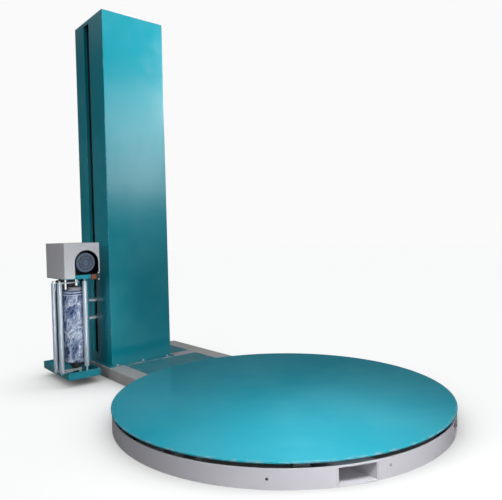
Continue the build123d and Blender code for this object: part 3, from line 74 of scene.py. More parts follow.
class Shader:
    """A small node-tree writer for one material."""

    def __init__(self, name, roughness=0.4, metallic=0.0, ior=1.5, coat=0.0, coat_roughness=0.1):
        self.material = bpy.data.materials.new(name)
        self.tree = empty_tree(self.material)
        self.bsdf = self.node("BsdfPrincipled", Roughness=roughness, Metallic=metallic, IOR=ior,
                              Coat_Weight=coat, Coat_Roughness=coat_roughness)
        self.node("OutputMaterial", Surface=self.bsdf.outputs[0])
        self.where = self.node("TexCoord").outputs["Object"]

    def put(self, socket, value):
        if isinstance(value, bpy.types.NodeSocket):
            self.tree.links.new(value, socket)
        else:
            socket.default_value = value

    def node(self, kind, **inputs):
        """A new node, with its inputs set or linked by name."""
        made = self.tree.nodes.new("ShaderNode" + kind)
        for name, value in inputs.items():
            self.put(made.inputs[name.replace("_", " ")], value)
        return made

    def place(self, scale=(1, 1, 1), turn=(0, 0, 0)):
        """Object coordinates, stretched and turned."""
        return self.node("Mapping", Scale=scale, Rotation=turn, Vector=self.where).outputs[0]

    def noise(self, scale, detail=3.0, rough=0.55, at=None, warp=0.0):
        node = self.node("TexNoise", Scale=scale, Detail=detail, Roughness=rough, Distortion=warp,
                         Vector=at or self.where)
        return node.outputs["Fac"]

    def cells(self, scale):
        return self.node("TexVoronoi", Scale=scale, Vector=self.where).outputs["Distance"]

    def math(self, kind, a, b=0.0, clamp=False):
        node = self.node("Math")
        node.operation = kind
        node.use_clamp = clamp
        self.put(node.inputs[0], a)
        self.put(node.inputs[1], b)
        return node.outputs[0]

    def range(self, value, low, high, to_low=0.0, to_high=1.0):
        node = self.node("MapRange", Value=value, From_Min=low, From_Max=high, To_Min=to_low, To_Max=to_high)
        node.interpolation_type = "SMOOTHSTEP"
        return node.outputs[0]

    def mix(self, share, a, b):
        node = self.node("Mix")
        node.data_type = "RGBA"
        self.put(node.inputs[0], share)
        for socket, value in ((node.inputs[6], a), (node.inputs[7], b)):
            self.put(socket, value if isinstance(value, bpy.types.NodeSocket) else (*value, 1.0))
        return node.outputs[2]

    def ramp(self, value, stops):
        node = self.node("ValToRGB", Fac=value)
        fill_ramp(node.color_ramp, stops)
        return node.outputs[0]

    def axis(self, which):
        return self.node("SeparateXYZ", Vector=self.where).outputs[which]

    def bump(self, height, distance, strength=1.0, over=None):
        node = self.node("Bump", Height=height, Distance=distance, Strength=strength)
        if over is not None:
            self.put(node.inputs["Normal"], over)
        return node.outputs[0]

    def off_middle(self, value):
        return self.math("ABSOLUTE", self.math("SUBTRACT", value, 0.5))

    def gap(self, axis, low, high):
        """Distance to the nearer of a box's two faces across one axis."""
        at = self.axis(axis)
        below, above = self.math("SUBTRACT", at, low[axis]), self.math("SUBTRACT", high[axis], at)
        return self.math("MINIMUM", below, above)

    def edge_distance(self, low, high):
        """Distance along the surface to the nearest edge of a box-shaped piece."""
        gaps = [self.gap(axis, low, high) for axis in range(3)]
        small = self.math("MINIMUM", gaps[0], gaps[1])
        large = self.math("MAXIMUM", gaps[0], gaps[1])
        return self.math("MAXIMUM", small, self.math("MINIMUM", large, gaps[2]))

    def edge_depth(self, low, high):
        """How far below the surface of a box a point lies, its open underside left out."""
        lid = self.math("SUBTRACT", high[2], self.axis(2))
        sides = self.math("MINIMUM", self.gap(0, low, high), self.gap(1, low, high))
        return self.math("MINIMUM", lid, sides)

    def finish(self, colour, roughness=None, normal=None):
        self.put(self.bsdf.inputs["Base Color"], colour)
        if roughness is not None:
            self.put(self.bsdf.inputs["Roughness"], roughness)
        if normal is not None:
            self.put(self.bsdf.inputs["Normal"], normal)
        return self.material


def darker(colour, share):
    return tuple(c * share for c in colour)


def toward(colour, other, share):
    return tuple(a + (b - a) * share for a, b in zip(colour, other))


# ------------------------------------------------------------------ materials
BARE_STEEL = (0.45, 0.44, 0.43)
DUST = (0.42, 0.38, 0.33)
# Near-black for painted shade on the inner faces of a cover
INSIDE_SHADE = (0.012, 0.015, 0.022)
WHITE = (1, 1, 1)
CHIP_REACH = 6.2 * MM      # how far chipped paint may run in from an edge


def paint(name, colour, roughness=0.22, box=None, scuffs=0.35, dust_top=0.0, peel=1.0, shaded_inside=0.0):
    """Gloss enamel: orange peel, cloudy patches, scuffs, chipped edges and floor dust.
    The last argument is the sheet thickness of a cover whose inner faces are painted near-black, painted
    shade inside the cover."""
    s = Shader(name, ior=1.45, coat=0.25, coat_roughness=0.12)
    broad = s.noise(1.7, 4.0)
    cloudy = s.noise(9.0, 5.0, 0.6)
    base = s.mix(s.range(broad, 0.35, 0.7), darker(colour, 0.90), toward(colour, WHITE, 0.03))
    base = s.mix(s.range(cloudy, 0.45, 0.8, 0.0, 0.15), base, darker(colour, 0.84))
    marks = s.noise(60.0, 6.0, 0.7, at=s.place((1.0, 1.0, 7.0), (0.5, 0.3, 0.2)))
    marks = s.range(marks, 0.68, 0.76, 0.0, scuffs)
    base = s.mix(marks, base, toward(colour, (0.5, 0.5, 0.5), 0.45))
    rough = s.range(cloudy, 0.3, 0.75, roughness, roughness + 0.08)
    rough = s.math("ADD", rough, s.math("MULTIPLY", marks, 0.5), clamp=True)
    if box is not None:
        wander = s.math("MULTIPLY", s.noise(55.0, 5.0, 0.75), CHIP_REACH)
        chipped = s.range(s.math("SUBTRACT", wander, s.edge_distance(*box)), 1.2 * MM, 2.0 * MM)
        chipped = s.math("MULTIPLY", chipped, s.range(s.noise(6.0, 2.0), 0.45, 0.62))
        base = s.mix(chipped, base, BARE_STEEL)
        rough = s.math("MAXIMUM", rough, s.math("MULTIPLY", chipped, 0.6))
    if dust_top > 0:
        low_down = s.range(s.axis(2), 0.0, dust_top, 0.30, 0.0)
        dirty = s.math("MULTIPLY", low_down, s.range(s.noise(14.0, 6.0, 0.7), 0.35, 0.75))
        base = s.mix(dirty, base, DUST)
        rough = s.math("ADD", rough, s.math("MULTIPLY", dirty, 0.5), clamp=True)
    if shaded_inside > 0:
        # Inner faces of the cover are painted near-black: painted shade inside the cover
        depth = s.edge_depth(*box)
        base = s.mix(s.range(depth, shaded_inside * 0.45, shaded_inside * 0.75), base, INSIDE_SHADE)
    peel_normal = s.bump(s.noise(420.0, 2.0), 0.00012 * peel, 0.35)
    wave_normal = s.bump(s.noise(11.0, 2.0), 0.0006 * peel, 0.22, over=peel_normal)
    return s.finish(base, rough, wave_normal)


def disc_paint(name, colour):
    """Table enamel: pallet scuffs in arcs round the axis, rubbed brighter towards the rim."""
    s = Shader(name, ior=1.4)
    x, y = s.axis(0), s.axis(1)
    radius = s.math("SQRT", s.math("ADD", s.math("MULTIPLY", x, x), s.math("MULTIPLY", y, y)))
    angle = s.math("ARCTAN2", y, x)
    polar = s.node("CombineXYZ", X=s.math("MULTIPLY", radius, 90.0), Y=s.math("MULTIPLY", angle, 1.6))
    arcs = s.noise(1.6, 6.0, 0.7, at=polar.outputs[0])
    straight = s.noise(45.0, 6.0, 0.75, at=s.place((1.0, 9.0, 1.0), (0, 0, 0.5)))
    broad = s.noise(1.3, 4.0)
    base = s.mix(s.range(broad, 0.35, 0.7), darker(colour, 0.92), toward(colour, WHITE, 0.025))
    worn = s.math("ADD", s.range(arcs, 0.64, 0.80, 0.0, 0.12), s.range(straight, 0.68, 0.78, 0.0, 0.12))
    base = s.mix(worn, base, toward(colour, (0.6, 0.65, 0.66), 0.4))
    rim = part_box("turntable_disc")[1].x
    rubbed = s.range(radius, rim - 15 * MM, rim - 0.5 * MM, 0.0, 0.35)
    base = s.mix(s.math("MULTIPLY", rubbed, s.range(s.noise(30.0, 4.0), 0.4, 0.7)), base, BARE_STEEL)
    rough = s.math("ADD", s.range(s.noise(7.0, 4.0), 0.3, 0.7, 0.17, 0.22), s.math("MULTIPLY", worn, 0.5))
    normal = s.bump(s.noise(380.0, 2.0), 0.00012, 0.35)
    return s.finish(base, rough, s.bump(arcs, 0.00008, 0.15, over=normal))


def metal(name, colour, roughness=0.3, grain=(1, 1, 30), streak=0.12, spots=0.0, metallic=1.0):
    """Drawn, turned or plated metal with a grain along one way and faint handling marks."""
    s = Shader(name, metallic=metallic, ior=1.8)
    fine = s.noise(160.0, 4.0, 0.6, at=s.place(grain))
    broad = s.noise(12.0, 5.0, 0.6)
    base = s.mix(s.range(fine, 0.3, 0.7), darker(colour, 1 - streak), toward(colour, WHITE, streak * 0.6))
    base = s.mix(s.range(broad, 0.5, 0.8, 0.0, 0.3), base, darker(colour, 0.72))
    if spots > 0:
        flakes = s.cells(45.0)
        base = s.mix(s.range(flakes, 0.2, 0.7, 0.0, spots), base, darker(colour, 0.6))
    rough = s.math("ADD", s.range(fine, 0.3, 0.7, roughness * 0.75, roughness * 1.2),
                   s.range(broad, 0.45, 0.8, 0.0, 0.12), clamp=True)
    return s.finish(base, rough, s.bump(fine, 0.00008, 0.4))


def oily_steel(name):
    """Chain steel, black with old grease in patches."""
    s = Shader(name, metallic=1.0, ior=1.8)
    grime = s.noise(70.0, 6.0, 0.7)
    base = s.ramp(grime, [(0.30, (0.05, 0.04, 0.035)), (0.55, (0.19, 0.17, 0.15)),
                          (0.78, (0.42, 0.40, 0.37))])
    return s.finish(base, s.range(grime, 0.3, 0.75, 0.25, 0.55), s.bump(grime, 0.0002, 0.4))


def plastic(name, colour, roughness=0.4, grain=0.00006, coat=0.0, speck=0.12):
    """Moulded plastic with a fine grain, rubbed patches and a little dust."""
    s = Shader(name, ior=1.5, coat=coat)
    fine = s.noise(900.0, 3.0, 0.6)
    hands = s.noise(26.0, 5.0, 0.6)
    base = s.mix(s.range(hands, 0.35, 0.75), darker(colour, 0.86), toward(colour, WHITE, 0.04))
    base = s.mix(s.range(fine, 0.62, 0.8, 0.0, speck), base, toward(colour, WHITE, 0.25))
    return s.finish(base, s.range(hands, 0.3, 0.7, roughness, roughness + 0.14), s.bump(fine, grain, 0.5))


def cast_paint(name, colour):
    """Painted casting: pebbled skin, with painted shade darkening the hollows and a faint painted highlight
    on the pebbles.
    """
    s = Shader(name, ior=1.5, coat=0.1)
    pebbles = s.noise(240.0, 4.0, 0.65)
    broad = s.noise(16.0, 4.0)
    # Pebble hollows darker and tops lighter: painted shade and painted highlight
    base = s.mix(s.range(pebbles, 0.35, 0.7), darker(colour, 0.78), toward(colour, WHITE, 0.06))
    base = s.mix(s.range(broad, 0.5, 0.8, 0.0, 0.35), base, darker(colour, 0.6))
    return s.finish(base, s.range(broad, 0.3, 0.7, 0.38, 0.56), s.bump(pebbles, 0.0003, 0.5))


def rubber(name, colour):
    """Dull black rubber, rubbed paler along its length."""
    s = Shader(name, ior=1.5)
    fine = s.noise(500.0, 4.0, 0.6)
    rubbed = s.noise(20.0, 5.0, 0.6, at=s.place((1, 1, 4)))
    base = s.mix(s.range(rubbed, 0.4, 0.75), colour, toward(colour, (0.5, 0.5, 0.5), 0.12))
    return s.finish(base, s.range(rubbed, 0.3, 0.7, 0.55, 0.78), s.bump(fine, 0.0001, 0.5))


def cardboard(name):
    """Paper core, wound on the bias, with a fibre fleck."""
    s = Shader(name)
    x, y, z = s.axis(0), s.axis(1), s.axis(2)
    low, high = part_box("film_core")
    mid = (low + high) / 2
    angle = s.math("ARCTAN2", s.math("SUBTRACT", y, mid.y), s.math("SUBTRACT", x, mid.x))
    lay = s.math("ADD", s.math("MULTIPLY", z, 11.0), s.math("MULTIPLY", angle, 1 / (2 * math.pi)))
    seam = s.range(s.off_middle(s.math("FRACT", lay)), 0.0, 0.03, 1.0, 0.0)
    fibre = s.noise(300.0, 5.0, 0.7, at=s.place((1, 1, 0.3)))
    base = s.mix(s.range(fibre, 0.35, 0.7), (0.36, 0.37, 0.41), (0.52, 0.54, 0.60))
    base = s.mix(s.math("MULTIPLY", seam, 0.6), base, (0.22, 0.18, 0.14))
    return s.finish(base, s.range(fibre, 0.3, 0.7, 0.6, 0.8), s.bump(fibre, 0.0002, 0.4))


def wound_film(name):
    """Stretch film on the roll: painted shade makes it deep blue in the folds and a painted highlight makes
    it nearly white on the crests.
    """
    s = Shader(name, roughness=0.16, ior=1.48, coat=0.6, coat_roughness=0.06)
    attribute = s.node("Attribute")
    attribute.attribute_name = "fold"
    fold = attribute.outputs["Fac"]
    cloud = s.noise(15.0, 5.0, 0.6, at=s.place((1, 1, 0.7), (0.3, 0.4, 0)), warp=0.8)
    # Fold height paints the film dark blue in the folds (painted shade) and nearly white on the crests
    # (painted highlight); the cloud adds random tone
    fold_shading = s.math("ADD", s.math("MULTIPLY", fold, 0.88), s.math("MULTIPLY", cloud, 0.20))
    base = s.ramp(fold_shading, [(0.32, (0.045, 0.060, 0.15)), (0.48, (0.13, 0.18, 0.33)),
                         (0.64, (0.26, 0.33, 0.49)), (0.78, (0.44, 0.51, 0.66)), (0.98, (0.85, 0.88, 0.93))])
    fine = s.noise(120.0, 5.0, 0.65, at=s.place((1, 1, 0.35), (0.0, 0.5, 0.3)), warp=0.6)
    return s.finish(base, s.range(fine, 0.3, 0.7, 0.10, 0.24), s.bump(fine, 0.0012, 0.45))


def loose_film(name):
    """One threaded layer of film: clear blue with drawn creases, painted dark in their hollows and pale on
    their ridges as painted shade and highlight.
    """
    s = Shader(name, roughness=0.12, ior=1.48, coat=0.4, coat_roughness=0.05)
    creases = s.noise(9.0, 5.0, 0.6, at=s.place((5, 5, 0.5), (0, 0.1, 0)), warp=0.5)
    # Colour follows the crease height: painted shade in the hollows, painted highlight on the ridges
    base = s.ramp(creases, [(0.34, (0.05, 0.09, 0.30)), (0.55, (0.20, 0.32, 0.62)),
                            (0.75, (0.62, 0.74, 0.92))])
    s.bsdf.inputs["Alpha"].default_value = 0.62
    return s.finish(base, s.range(creases, 0.3, 0.7, 0.08, 0.22), s.bump(creases, 0.001, 0.4))


def glow_screen(name):
    """Dark operator screen with a faint grid of fields and no lettering."""
    s = Shader(name, roughness=0.12, coat=0.5, coat_roughness=0.04)
    low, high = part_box("display_panel")

    def cell(value, count):
        return s.off_middle(s.math("FRACT", s.math("MULTIPLY", value, count)))

    x = s.math("MULTIPLY", s.math("SUBTRACT", s.axis(0), low.x), 1 / (high.x - low.x))
    z = s.math("MULTIPLY", s.math("SUBTRACT", s.axis(2), low.z), 1 / (high.z - low.z))
    inside = s.math("MULTIPLY", s.range(s.off_middle(x), 0.41, 0.42, 1.0, 0.0),
                    s.range(s.off_middle(z), 0.36, 0.38, 1.0, 0.0))
    columns, rows = 3.65, 4.1
    field = s.math("MULTIPLY", s.range(cell(x, columns), 0.40, 0.43, 1.0, 0.0),
                   s.range(cell(z, rows), 0.30, 0.34, 1.0, 0.0))
    screen = s.mix(s.math("MULTIPLY", field, 0.8), (0.02, 0.07, 0.09), (0.10, 0.34, 0.38))
    base = s.mix(inside, (0.025, 0.026, 0.028), screen)
    return s.finish(base, s.range(s.noise(30.0, 4.0), 0.3, 0.7, 0.08, 0.2))


TEAL = (0.004, 0.315, 0.400)
GREY = (0.60, 0.59, 0.64)
PALE_GREY = (0.66, 0.65, 0.68)


def box_of(*nodes):
    """Lowest and highest corner of several CAD nodes together."""
    corners = [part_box(node) for node in nodes]
    low = Vector(min(c[0][i] for c in corners) for i in range(3))
    high = Vector(max(c[1][i] for c in corners) for i in range(3))
    return low, high


MAST = box_of("mast_shell", "mast_rear_cover", "mast_top_cap")
MATERIALS = {
    "mast": paint("mast_teal_paint", TEAL, 0.16, MAST, scuffs=0.2),
    # The flange's strong edge chipping is partly wear and partly a painted highlight along its lit edge
    "flange": paint("flange_teal_paint", TEAL, 0.3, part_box("mast_base_flange"), scuffs=0.5, dust_top=0.12),
    "tray": paint("tray_teal_paint", TEAL, 0.2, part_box("carriage_tray"), scuffs=0.4),
    "carriage": paint("carriage_teal_paint", darker(TEAL, 0.95), 0.22, None, scuffs=0.35),
    "floor_teal": paint("floor_teal_paint", darker(TEAL, 0.9), 0.3, None, scuffs=0.6, dust_top=0.2),
    "disc": disc_paint("disc_teal_paint", (0.008, 0.345, 0.455)),
    "ring": paint("ring_grey_paint", GREY, 0.28, None, scuffs=0.5, dust_top=0.05),
    "beam": paint("beam_grey_paint", (0.66, 0.62, 0.60), 0.34, None, scuffs=0.7, dust_top=0.09),
    "head": paint("head_grey_paint", PALE_GREY, 0.3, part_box("head_cover"), scuffs=0.2, peel=0.6,
                  shaded_inside=2 * MM),
    "cabinet": paint("cabinet_grey_paint", PALE_GREY, 0.34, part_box("cabinet_body"), scuffs=0.15, peel=1.4),
    "bolt": metal("bright_bolts", (0.82, 0.82, 0.83), 0.42, (1, 1, 1), 0.06, metallic=0.35),
    "zinc": metal("zinc_steel", (0.62, 0.63, 0.64), 0.34, (1, 1, 1), 0.1, spots=0.18),
    "bar": metal("bright_flat_bar", (0.62, 0.70, 0.73), 0.42, (0.1, 1, 1), 0.06, metallic=0.35),
    "rail": metal("cold_drawn_rail", (0.44, 0.45, 0.46), 0.35, (1, 1, 0.03), 0.15),
    "roller": metal("anodised_roller", (0.60, 0.68, 0.78), 0.40, (1, 1, 0.04), 0.03, metallic=0.45),
    "turned": metal("turned_steel", (0.60, 0.60, 0.60), 0.28, (0.2, 0.2, 6), 0.12),
    "chain": oily_steel("oiled_chain"),
    "motor": cast_paint("motor_slate_paint", (0.09, 0.14, 0.23)),
    "gearbox": cast_paint("gearbox_grey_paint", (0.22, 0.24, 0.27)),
    "shoe": plastic("guide_shoe_plastic", (0.78, 0.76, 0.70), 0.45),
    "white": plastic("white_plastic", (0.90, 0.89, 0.86), 0.35),
    "black": plastic("black_plastic", (0.018, 0.018, 0.02), 0.38),
    "red": plastic("red_plastic", (0.62, 0.02, 0.015), 0.25, coat=0.3),
    "green": plastic("green_plastic", (0.01, 0.33, 0.07), 0.25, coat=0.3),
    "yellow": plastic("yellow_plastic", (0.80, 0.55, 0.02), 0.35),
    "orange": plastic("orange_plastic", (0.27, 0.070, 0.026), 0.3, coat=0.2),
    "wheel": plastic("wheel_polyamide", (0.16, 0.16, 0.155), 0.42),
    "rubber": rubber("roller_rubber", (0.05, 0.05, 0.055)),
    "cardboard": cardboard("core_cardboard"),
    "wound_film": wound_film("wound_film"),
    "loose_film": loose_film("loose_film"),
    "screen": glow_screen("operator_screen"),
}

FINISH = {
    "mast": ["mast_shell", "mast_rear_cover", "mast_top_cap"],
    "flange": ["mast_base_flange"],
    "tray": ["carriage_tray"],
    "carriage": ["carriage_post", "carriage_top_plate"],
    "floor_teal": ["floor_covers"],
    "disc": ["turntable_disc"],
    "ring": ["base_ring", "fork_pockets", "center_hub", "base_cross_members"],
    "beam": ["side_beams"],
    "head": ["head_cover"],
    "cabinet": ["cabinet_body", "cabinet_door"],
    "bolt": ["mast_anchor_bolts"],
    "zinc": ["wheel_brackets", "idler_bracket", "trolley_plate"],
    "bar": ["carriage_arms", "dancer_arms"],
    "rail": ["guide_rails"],
    "roller": ["outer_dancer_roller", "inner_dancer_roller", "idler_roller"],
    "turned": ["table_spindle", "table_sprocket", "table_drive_sprocket", "lift_drive_sprocket",
               "lift_idler_sprocket", "stretch_pinion"],
    "chain": ["table_chain", "lift_chain"],
    "motor": ["stretch_motor"],
    "gearbox": ["stretch_gearbox", "table_gearmotor", "lift_gearmotor"],
    "shoe": ["guide_shoes"],
    "black": ["film_mandrel", "main_switch"],
    "red": ["estop_button", "stop_button"],
    "green": ["start_button"],
    "orange": ["tension_knob"],
    "rubber": ["slow_stretch_roller", "fast_stretch_roller"],
    "cardboard": ["film_core"],
    "wound_film": ["film_roll"],
    "loose_film": ["film_web"],
    "screen": ["display_panel"],
    "wheel": [node for node in NODES if node.startswith("support_wheel")],
}
MATERIAL_OF = {node: MATERIALS[key] for key, nodes in FINISH.items() for node in nodes}


# ------------------------------------------------------------------ mesh helpers
def new_object(name, data):
    """An object that is in the scene."""
    made = bpy.data.objects.new(name, data)
    bpy.context.scene.collection.objects.link(made)
    return made


def object_from(name, verts, faces, material, body):
    """Makes a mesh object that rides on a body and wears the given material."""
    mesh = bpy.data.meshes.new(name)
    mesh.from_pydata([tuple(v) for v in verts], [], faces)
    mesh.validate()
    mesh.update()
    mesh.materials.append(material)
    piece = new_object(name, mesh)
    smooth(mesh)
    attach(piece, body)
    return piece


def smooth(mesh):
    """Smooth shading with hard edges kept sharp."""
    bm = bmesh.new()
    bm.from_mesh(mesh)
    bmesh.ops.recalc_face_normals(bm, faces=bm.faces)
    bm.to_mesh(mesh)
    bm.free()
    mesh.polygons.foreach_set("use_smooth", [True] * len(mesh.polygons))
    mesh.set_sharp_from_angle(angle=math.radians(32))


def softened(node, width, open_box=False):
    """The CAD node's own shape with its sharp edges rolled over.
    An open box keeps its triangles, because a rim merged into one face would cover the opening."""
    mesh = NODES[node].data.copy()
    mesh.name = node + "_skin"
    bm = bmesh.new()
    bm.from_mesh(mesh)
    bmesh.ops.remove_doubles(bm, verts=bm.verts, dist=2e-6)
    if not open_box:
        bmesh.ops.dissolve_limit(bm, angle_limit=math.radians(0.4), verts=bm.verts, edges=bm.edges)
    bm.to_mesh(mesh)
    bm.free()
    if mesh.has_custom_normals:
        mesh.attributes.remove(mesh.attributes["custom_normal"])
    mesh.materials.clear()
    mesh.materials.append(MATERIAL_OF[node])
    smooth(mesh)
    piece = new_object(node + "_skin", mesh)
    bevel = piece.modifiers.new("edges", "BEVEL")
    bevel.width = width
    bevel.segments = 2
    bevel.limit_method = "ANGLE"
    bevel.angle_limit = math.radians(38)
    bevel.harden_normals = True
    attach(piece, BODY_OF[node])
    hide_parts(node)


class Shape:
    """Gathers rings, boxes and turned profiles into one mesh."""

    def __init__(self):
        self.verts = []
        self.faces = []

    def add(self, verts, faces):
        start = len(self.verts)
        self.verts += [Vector(v) for v in verts]
        self.faces += [[i + start for i in face] for face in faces]

    def turned(self, profile, sides, frame_matrix, closed=False):
        """Turns an (axial, radius) profile round the local Z axis.
        A closed profile joins its own ends, and an open one gets a flat cap at each end."""
        verts = []
        for along, radius in profile:
            for i in range(sides):
                a = 2 * math.pi * i / sides
                verts.append(frame_matrix @ Vector((radius * math.cos(a), radius * math.sin(a), along)))
        faces = []
        rows = len(profile)
        for row in range(rows if closed else rows - 1):
            after = (row + 1) % rows
            for i in range(sides):
                j = (i + 1) % sides
                faces.append([row * sides + i, row * sides + j, after * sides + j, after * sides + i])
        if not closed:
            faces.append(list(range(sides))[::-1])
            faces.append([(rows - 1) * sides + i for i in range(sides)])
        self.add(verts, faces)

    def box(self, low, high, cut):
        """Box with chamfered edges."""
        bm = bmesh.new()
        bmesh.ops.create_cube(bm, size=1.0)
        size = Vector(high) - Vector(low)
        for v in bm.verts:
            v.co = Vector(low) + Vector((v.co[i] + 0.5) * size[i] for i in range(3))
        bmesh.ops.bevel(bm, geom=bm.edges[:], offset=cut, segments=2, affect="EDGES")
        bm.verts.index_update()
        self.add([v.co.copy() for v in bm.verts], [[v.index for v in f.verts] for f in bm.faces])
        bm.free()

    def make(self, name, material, body, slot):
        return object_from(name, self.verts, self.faces, material, body)


def facing(point, direction):
    """Matrix that stands local Z along a direction at a point."""
    turn = Vector(direction).normalized().to_track_quat("Z", "Y").to_matrix().to_4x4()
    return Matrix.Translation(Vector(point)) @ turn


def screw(shape, point, direction, head_radius, height, sides=20, socket=True):
    """Rounded head, with a recess if socket is set."""
    r, h = head_radius, height
    inner = r * 0.52
    profile = [(0, r), (h * 0.55, r), (h * 0.9, r * 0.86), (h, r * 0.62)]
    profile += [(h, inner), (h * 0.45, inner * 0.9)] if socket else [(h, r * 0.3)]
    shape.turned(profile, sides, facing(point, direction))


# ------------------------------------------------------------------ camera, lights and floor
def make_camera():
    """Stands where the photograph was taken from."""
    place = (-1.932, -2.077, 0.965)
    heading, dip, lean = 0.6977, 0.0291, -0.0226          # radians
    data = bpy.data.cameras.new("camera")
    data.sensor_width = 36.0
    data.lens = 37.417
    data.dof.use_dof = False
    data.clip_start, data.clip_end = 0.05, 100.0
    camera = new_object("camera", data)
    turn = Matrix.Rotation(-heading, 4, "Z") @ Matrix.Rotation(math.radians(90) - dip, 4, "X")
    turn = turn @ Matrix.Rotation(lean, 4, "Z")
    camera.matrix_world = Matrix.Translation(place) @ turn
    bpy.context.scene.camera = camera


def area_light(name, place, target, size, power, spread):
    """Rectangular lamp that faces a target."""
    data = bpy.data.lights.new(name, "AREA")
    data.shape = "RECTANGLE"
    data.size, data.size_y = size
    data.energy = power
    data.spread = math.radians(spread)
    light = new_object(name, data)
    light.location = place
    light.rotation_mode = "QUATERNION"
    light.rotation_quaternion = (Vector(target) - Vector(place)).to_track_quat("-Z", "Y")


def seen_or_cast(tree, seen, cast, out):
    """Shows one shader to the camera and lights the object with another."""
    path = tree.nodes.new("ShaderNodeLightPath")
    pick = tree.nodes.new("ShaderNodeMixShader")
    tree.links.new(path.outputs["Is Camera Ray"], pick.inputs[0])
    tree.links.new(cast.outputs[0], pick.inputs[1])
    tree.links.new(seen.outputs[0], pick.inputs[2])
    tree.links.new(pick.outputs[0], out.inputs[0])


def make_world():
    """Dim below and at the horizon and bright above it, with a plain pale backdrop to look at."""
    world = bpy.data.worlds.new("studio")
    bpy.context.scene.world = world
    tree = empty_tree(world)
    out = tree.nodes.new("ShaderNodeOutputWorld")
    coord = tree.nodes.new("ShaderNodeTexCoord")
    split = tree.nodes.new("ShaderNodeSeparateXYZ")
    tree.links.new(coord.outputs["Generated"], split.inputs[0])
    sky = tree.nodes.new("ShaderNodeValToRGB")
    tree.links.new(split.outputs[2], sky.inputs[0])
    sky.color_ramp.interpolation = "EASE"
    levels = [(0.0, 0.04), (0.30, 0.05), (0.46, 0.55), (0.65, 0.55), (1.0, 0.55)]
    fill_ramp(sky.color_ramp, [(place, (level * 0.97, level, level * 1.03)) for place, level in levels])
    lit = tree.nodes.new("ShaderNodeBackground")
    tree.links.new(sky.outputs[0], lit.inputs[0])
    pale = tree.nodes.new("ShaderNodeBackground")
    pale.inputs[0].default_value = (BACKDROP, BACKDROP, BACKDROP, 1)
    seen_or_cast(tree, pale, lit, out)


def make_floor():
    """Plain pale floor: near-white to look at, dimmer in what it throws back on the object, with a painted
    contact shadow where ambient occlusion darkens its glow near the object.
    """
    reach = 30.0
    mesh = bpy.data.meshes.new("floor")
    corners = [(x * reach, y * reach, 0) for x, y in ((-1, -1), (1, -1), (1, 1), (-1, 1))]
    mesh.from_pydata(corners, [], [(0, 1, 2, 3)])
    floor = new_object("floor", mesh)
    material = bpy.data.materials.new("pale_floor")
    tree = empty_tree(material)
    out = tree.nodes.new("ShaderNodeOutputMaterial")
    bounce = tree.nodes.new("ShaderNodeBsdfDiffuse")
    bounce.inputs[0].default_value = (0.22, 0.22, 0.22, 1)
    seen = tree.nodes.new("ShaderNodeBsdfDiffuse")
    seen.inputs[0].default_value = (0.92, 0.92, 0.92, 1)
    glow = tree.nodes.new("ShaderNodeEmission")
    # Ambient occlusion darkens the floor's glow under and beside the object: painted contact shadow
    shade = tree.nodes.new("ShaderNodeAmbientOcclusion")
    shade.inputs["Color"].default_value = (BACKDROP, BACKDROP, BACKDROP, 1)
    shade.inputs["Distance"].default_value = 0.5
    tree.links.new(shade.outputs["Color"], glow.inputs[0])
    glow.inputs[1].default_value = 1.2
    high_key = tree.nodes.new("ShaderNodeMixShader")
    high_key.inputs[0].default_value = 0.72
    tree.links.new(seen.outputs[0], high_key.inputs[1])
    tree.links.new(glow.outputs[0], high_key.inputs[2])
    seen_or_cast(tree, high_key, bounce, out)
    mesh.materials.append(material)


def make_stage():
    """Camera, backdrop, floor and seven lamps: place, target, size, watts and spread in degrees."""
    make_camera()
    make_world()
    make_floor()
    area_light("window", (4.2, -7.0, 3.3), (-0.1, 1.3, 2.3), (3.8, 2.6), 9.5, spread=50)
    area_light("mast_key", (4.3, -2.4, 3.4), (-0.15, 1.3, 2.35), (1.2, 1.2), 15, spread=24)
    area_light("table_key", (-0.7, -3.7, 0.8), (-0.35, -0.6, 0.04), (1.0, 0.4), 1.0, spread=24)
    area_light("ring_key", (3.3, -2.6, 0.14), (0.6, -0.7, 0.05), (0.9, 0.14), 0.62, spread=34)
    area_light("left_fill", (-4.6, -0.6, 2.2), (-0.4, 1.0, 1.3), (1.4, 1.4), 4.5, spread=56)
    area_light("table_top", (-0.9, -1.5, 2.0), (-0.35, -0.62, 0.1), (1.1, 0.6), 5.2, spread=46)
    area_light("carriage_key", (-0.95, -1.0, 0.75), (-0.66, 1.3, 0.5), (0.3, 0.7), 0.7, spread=22)
    settings = bpy.context.scene.view_settings
    settings.view_transform = "Standard"
    settings.look = "None"


# ------------------------------------------------------------------ film
def crease(point, scale, seed):
    """Crumpled-sheet noise: 1 along a straight crease, falling to 0 in the middle of a facet."""
    q = Vector((point.x * scale[0] + seed, point.y * scale[1], point.z * scale[2] - seed))
    near = noise.voronoi(q)[0]
    return 1.0 - min(1.0, (near[1] - near[0]) * 1.7)


def sway(point):
    """Smooth vector noise from three scalar ones: Blender's own noise_vector changes from run to run."""
    shifts = (Vector((9.3, -1.5, -7.9)), Vector((0.0, 0.0, 0.0)), Vector((6.3, 11.2, 3.1)))
    return Vector(noise.noise(point + shift) for shift in shifts)


def wrinkle(x, y, z, turn):
    """How raised the film is at a point of the roll, 0 in a deep fold to 1 on a crest."""
    c, n = math.cos(turn), math.sin(turn)
    twisted = Vector((x * c - y * n, x * n + y * c, z))
    bend = 20 * MM
    p = twisted + sway(twisted * 16.0) * bend
    drape = crease(p, (17, 17, 11), seed=1.0)
    pucker = crease(p, (42, 42, 24), seed=5.0)
    crumple = crease(p, (85, 85, 60), seed=9.0)
    swell = 0.5 + 0.5 * noise.noise(Vector((p.x * 9, p.y * 9, p.z * 6 + 5)))
    raised = 0.42 * drape ** 1.7 + 0.30 * pucker ** 1.4 + 0.20 * crumple ** 1.3 + 0.14 * swell
    return max(0.0, min(1.0, raised))


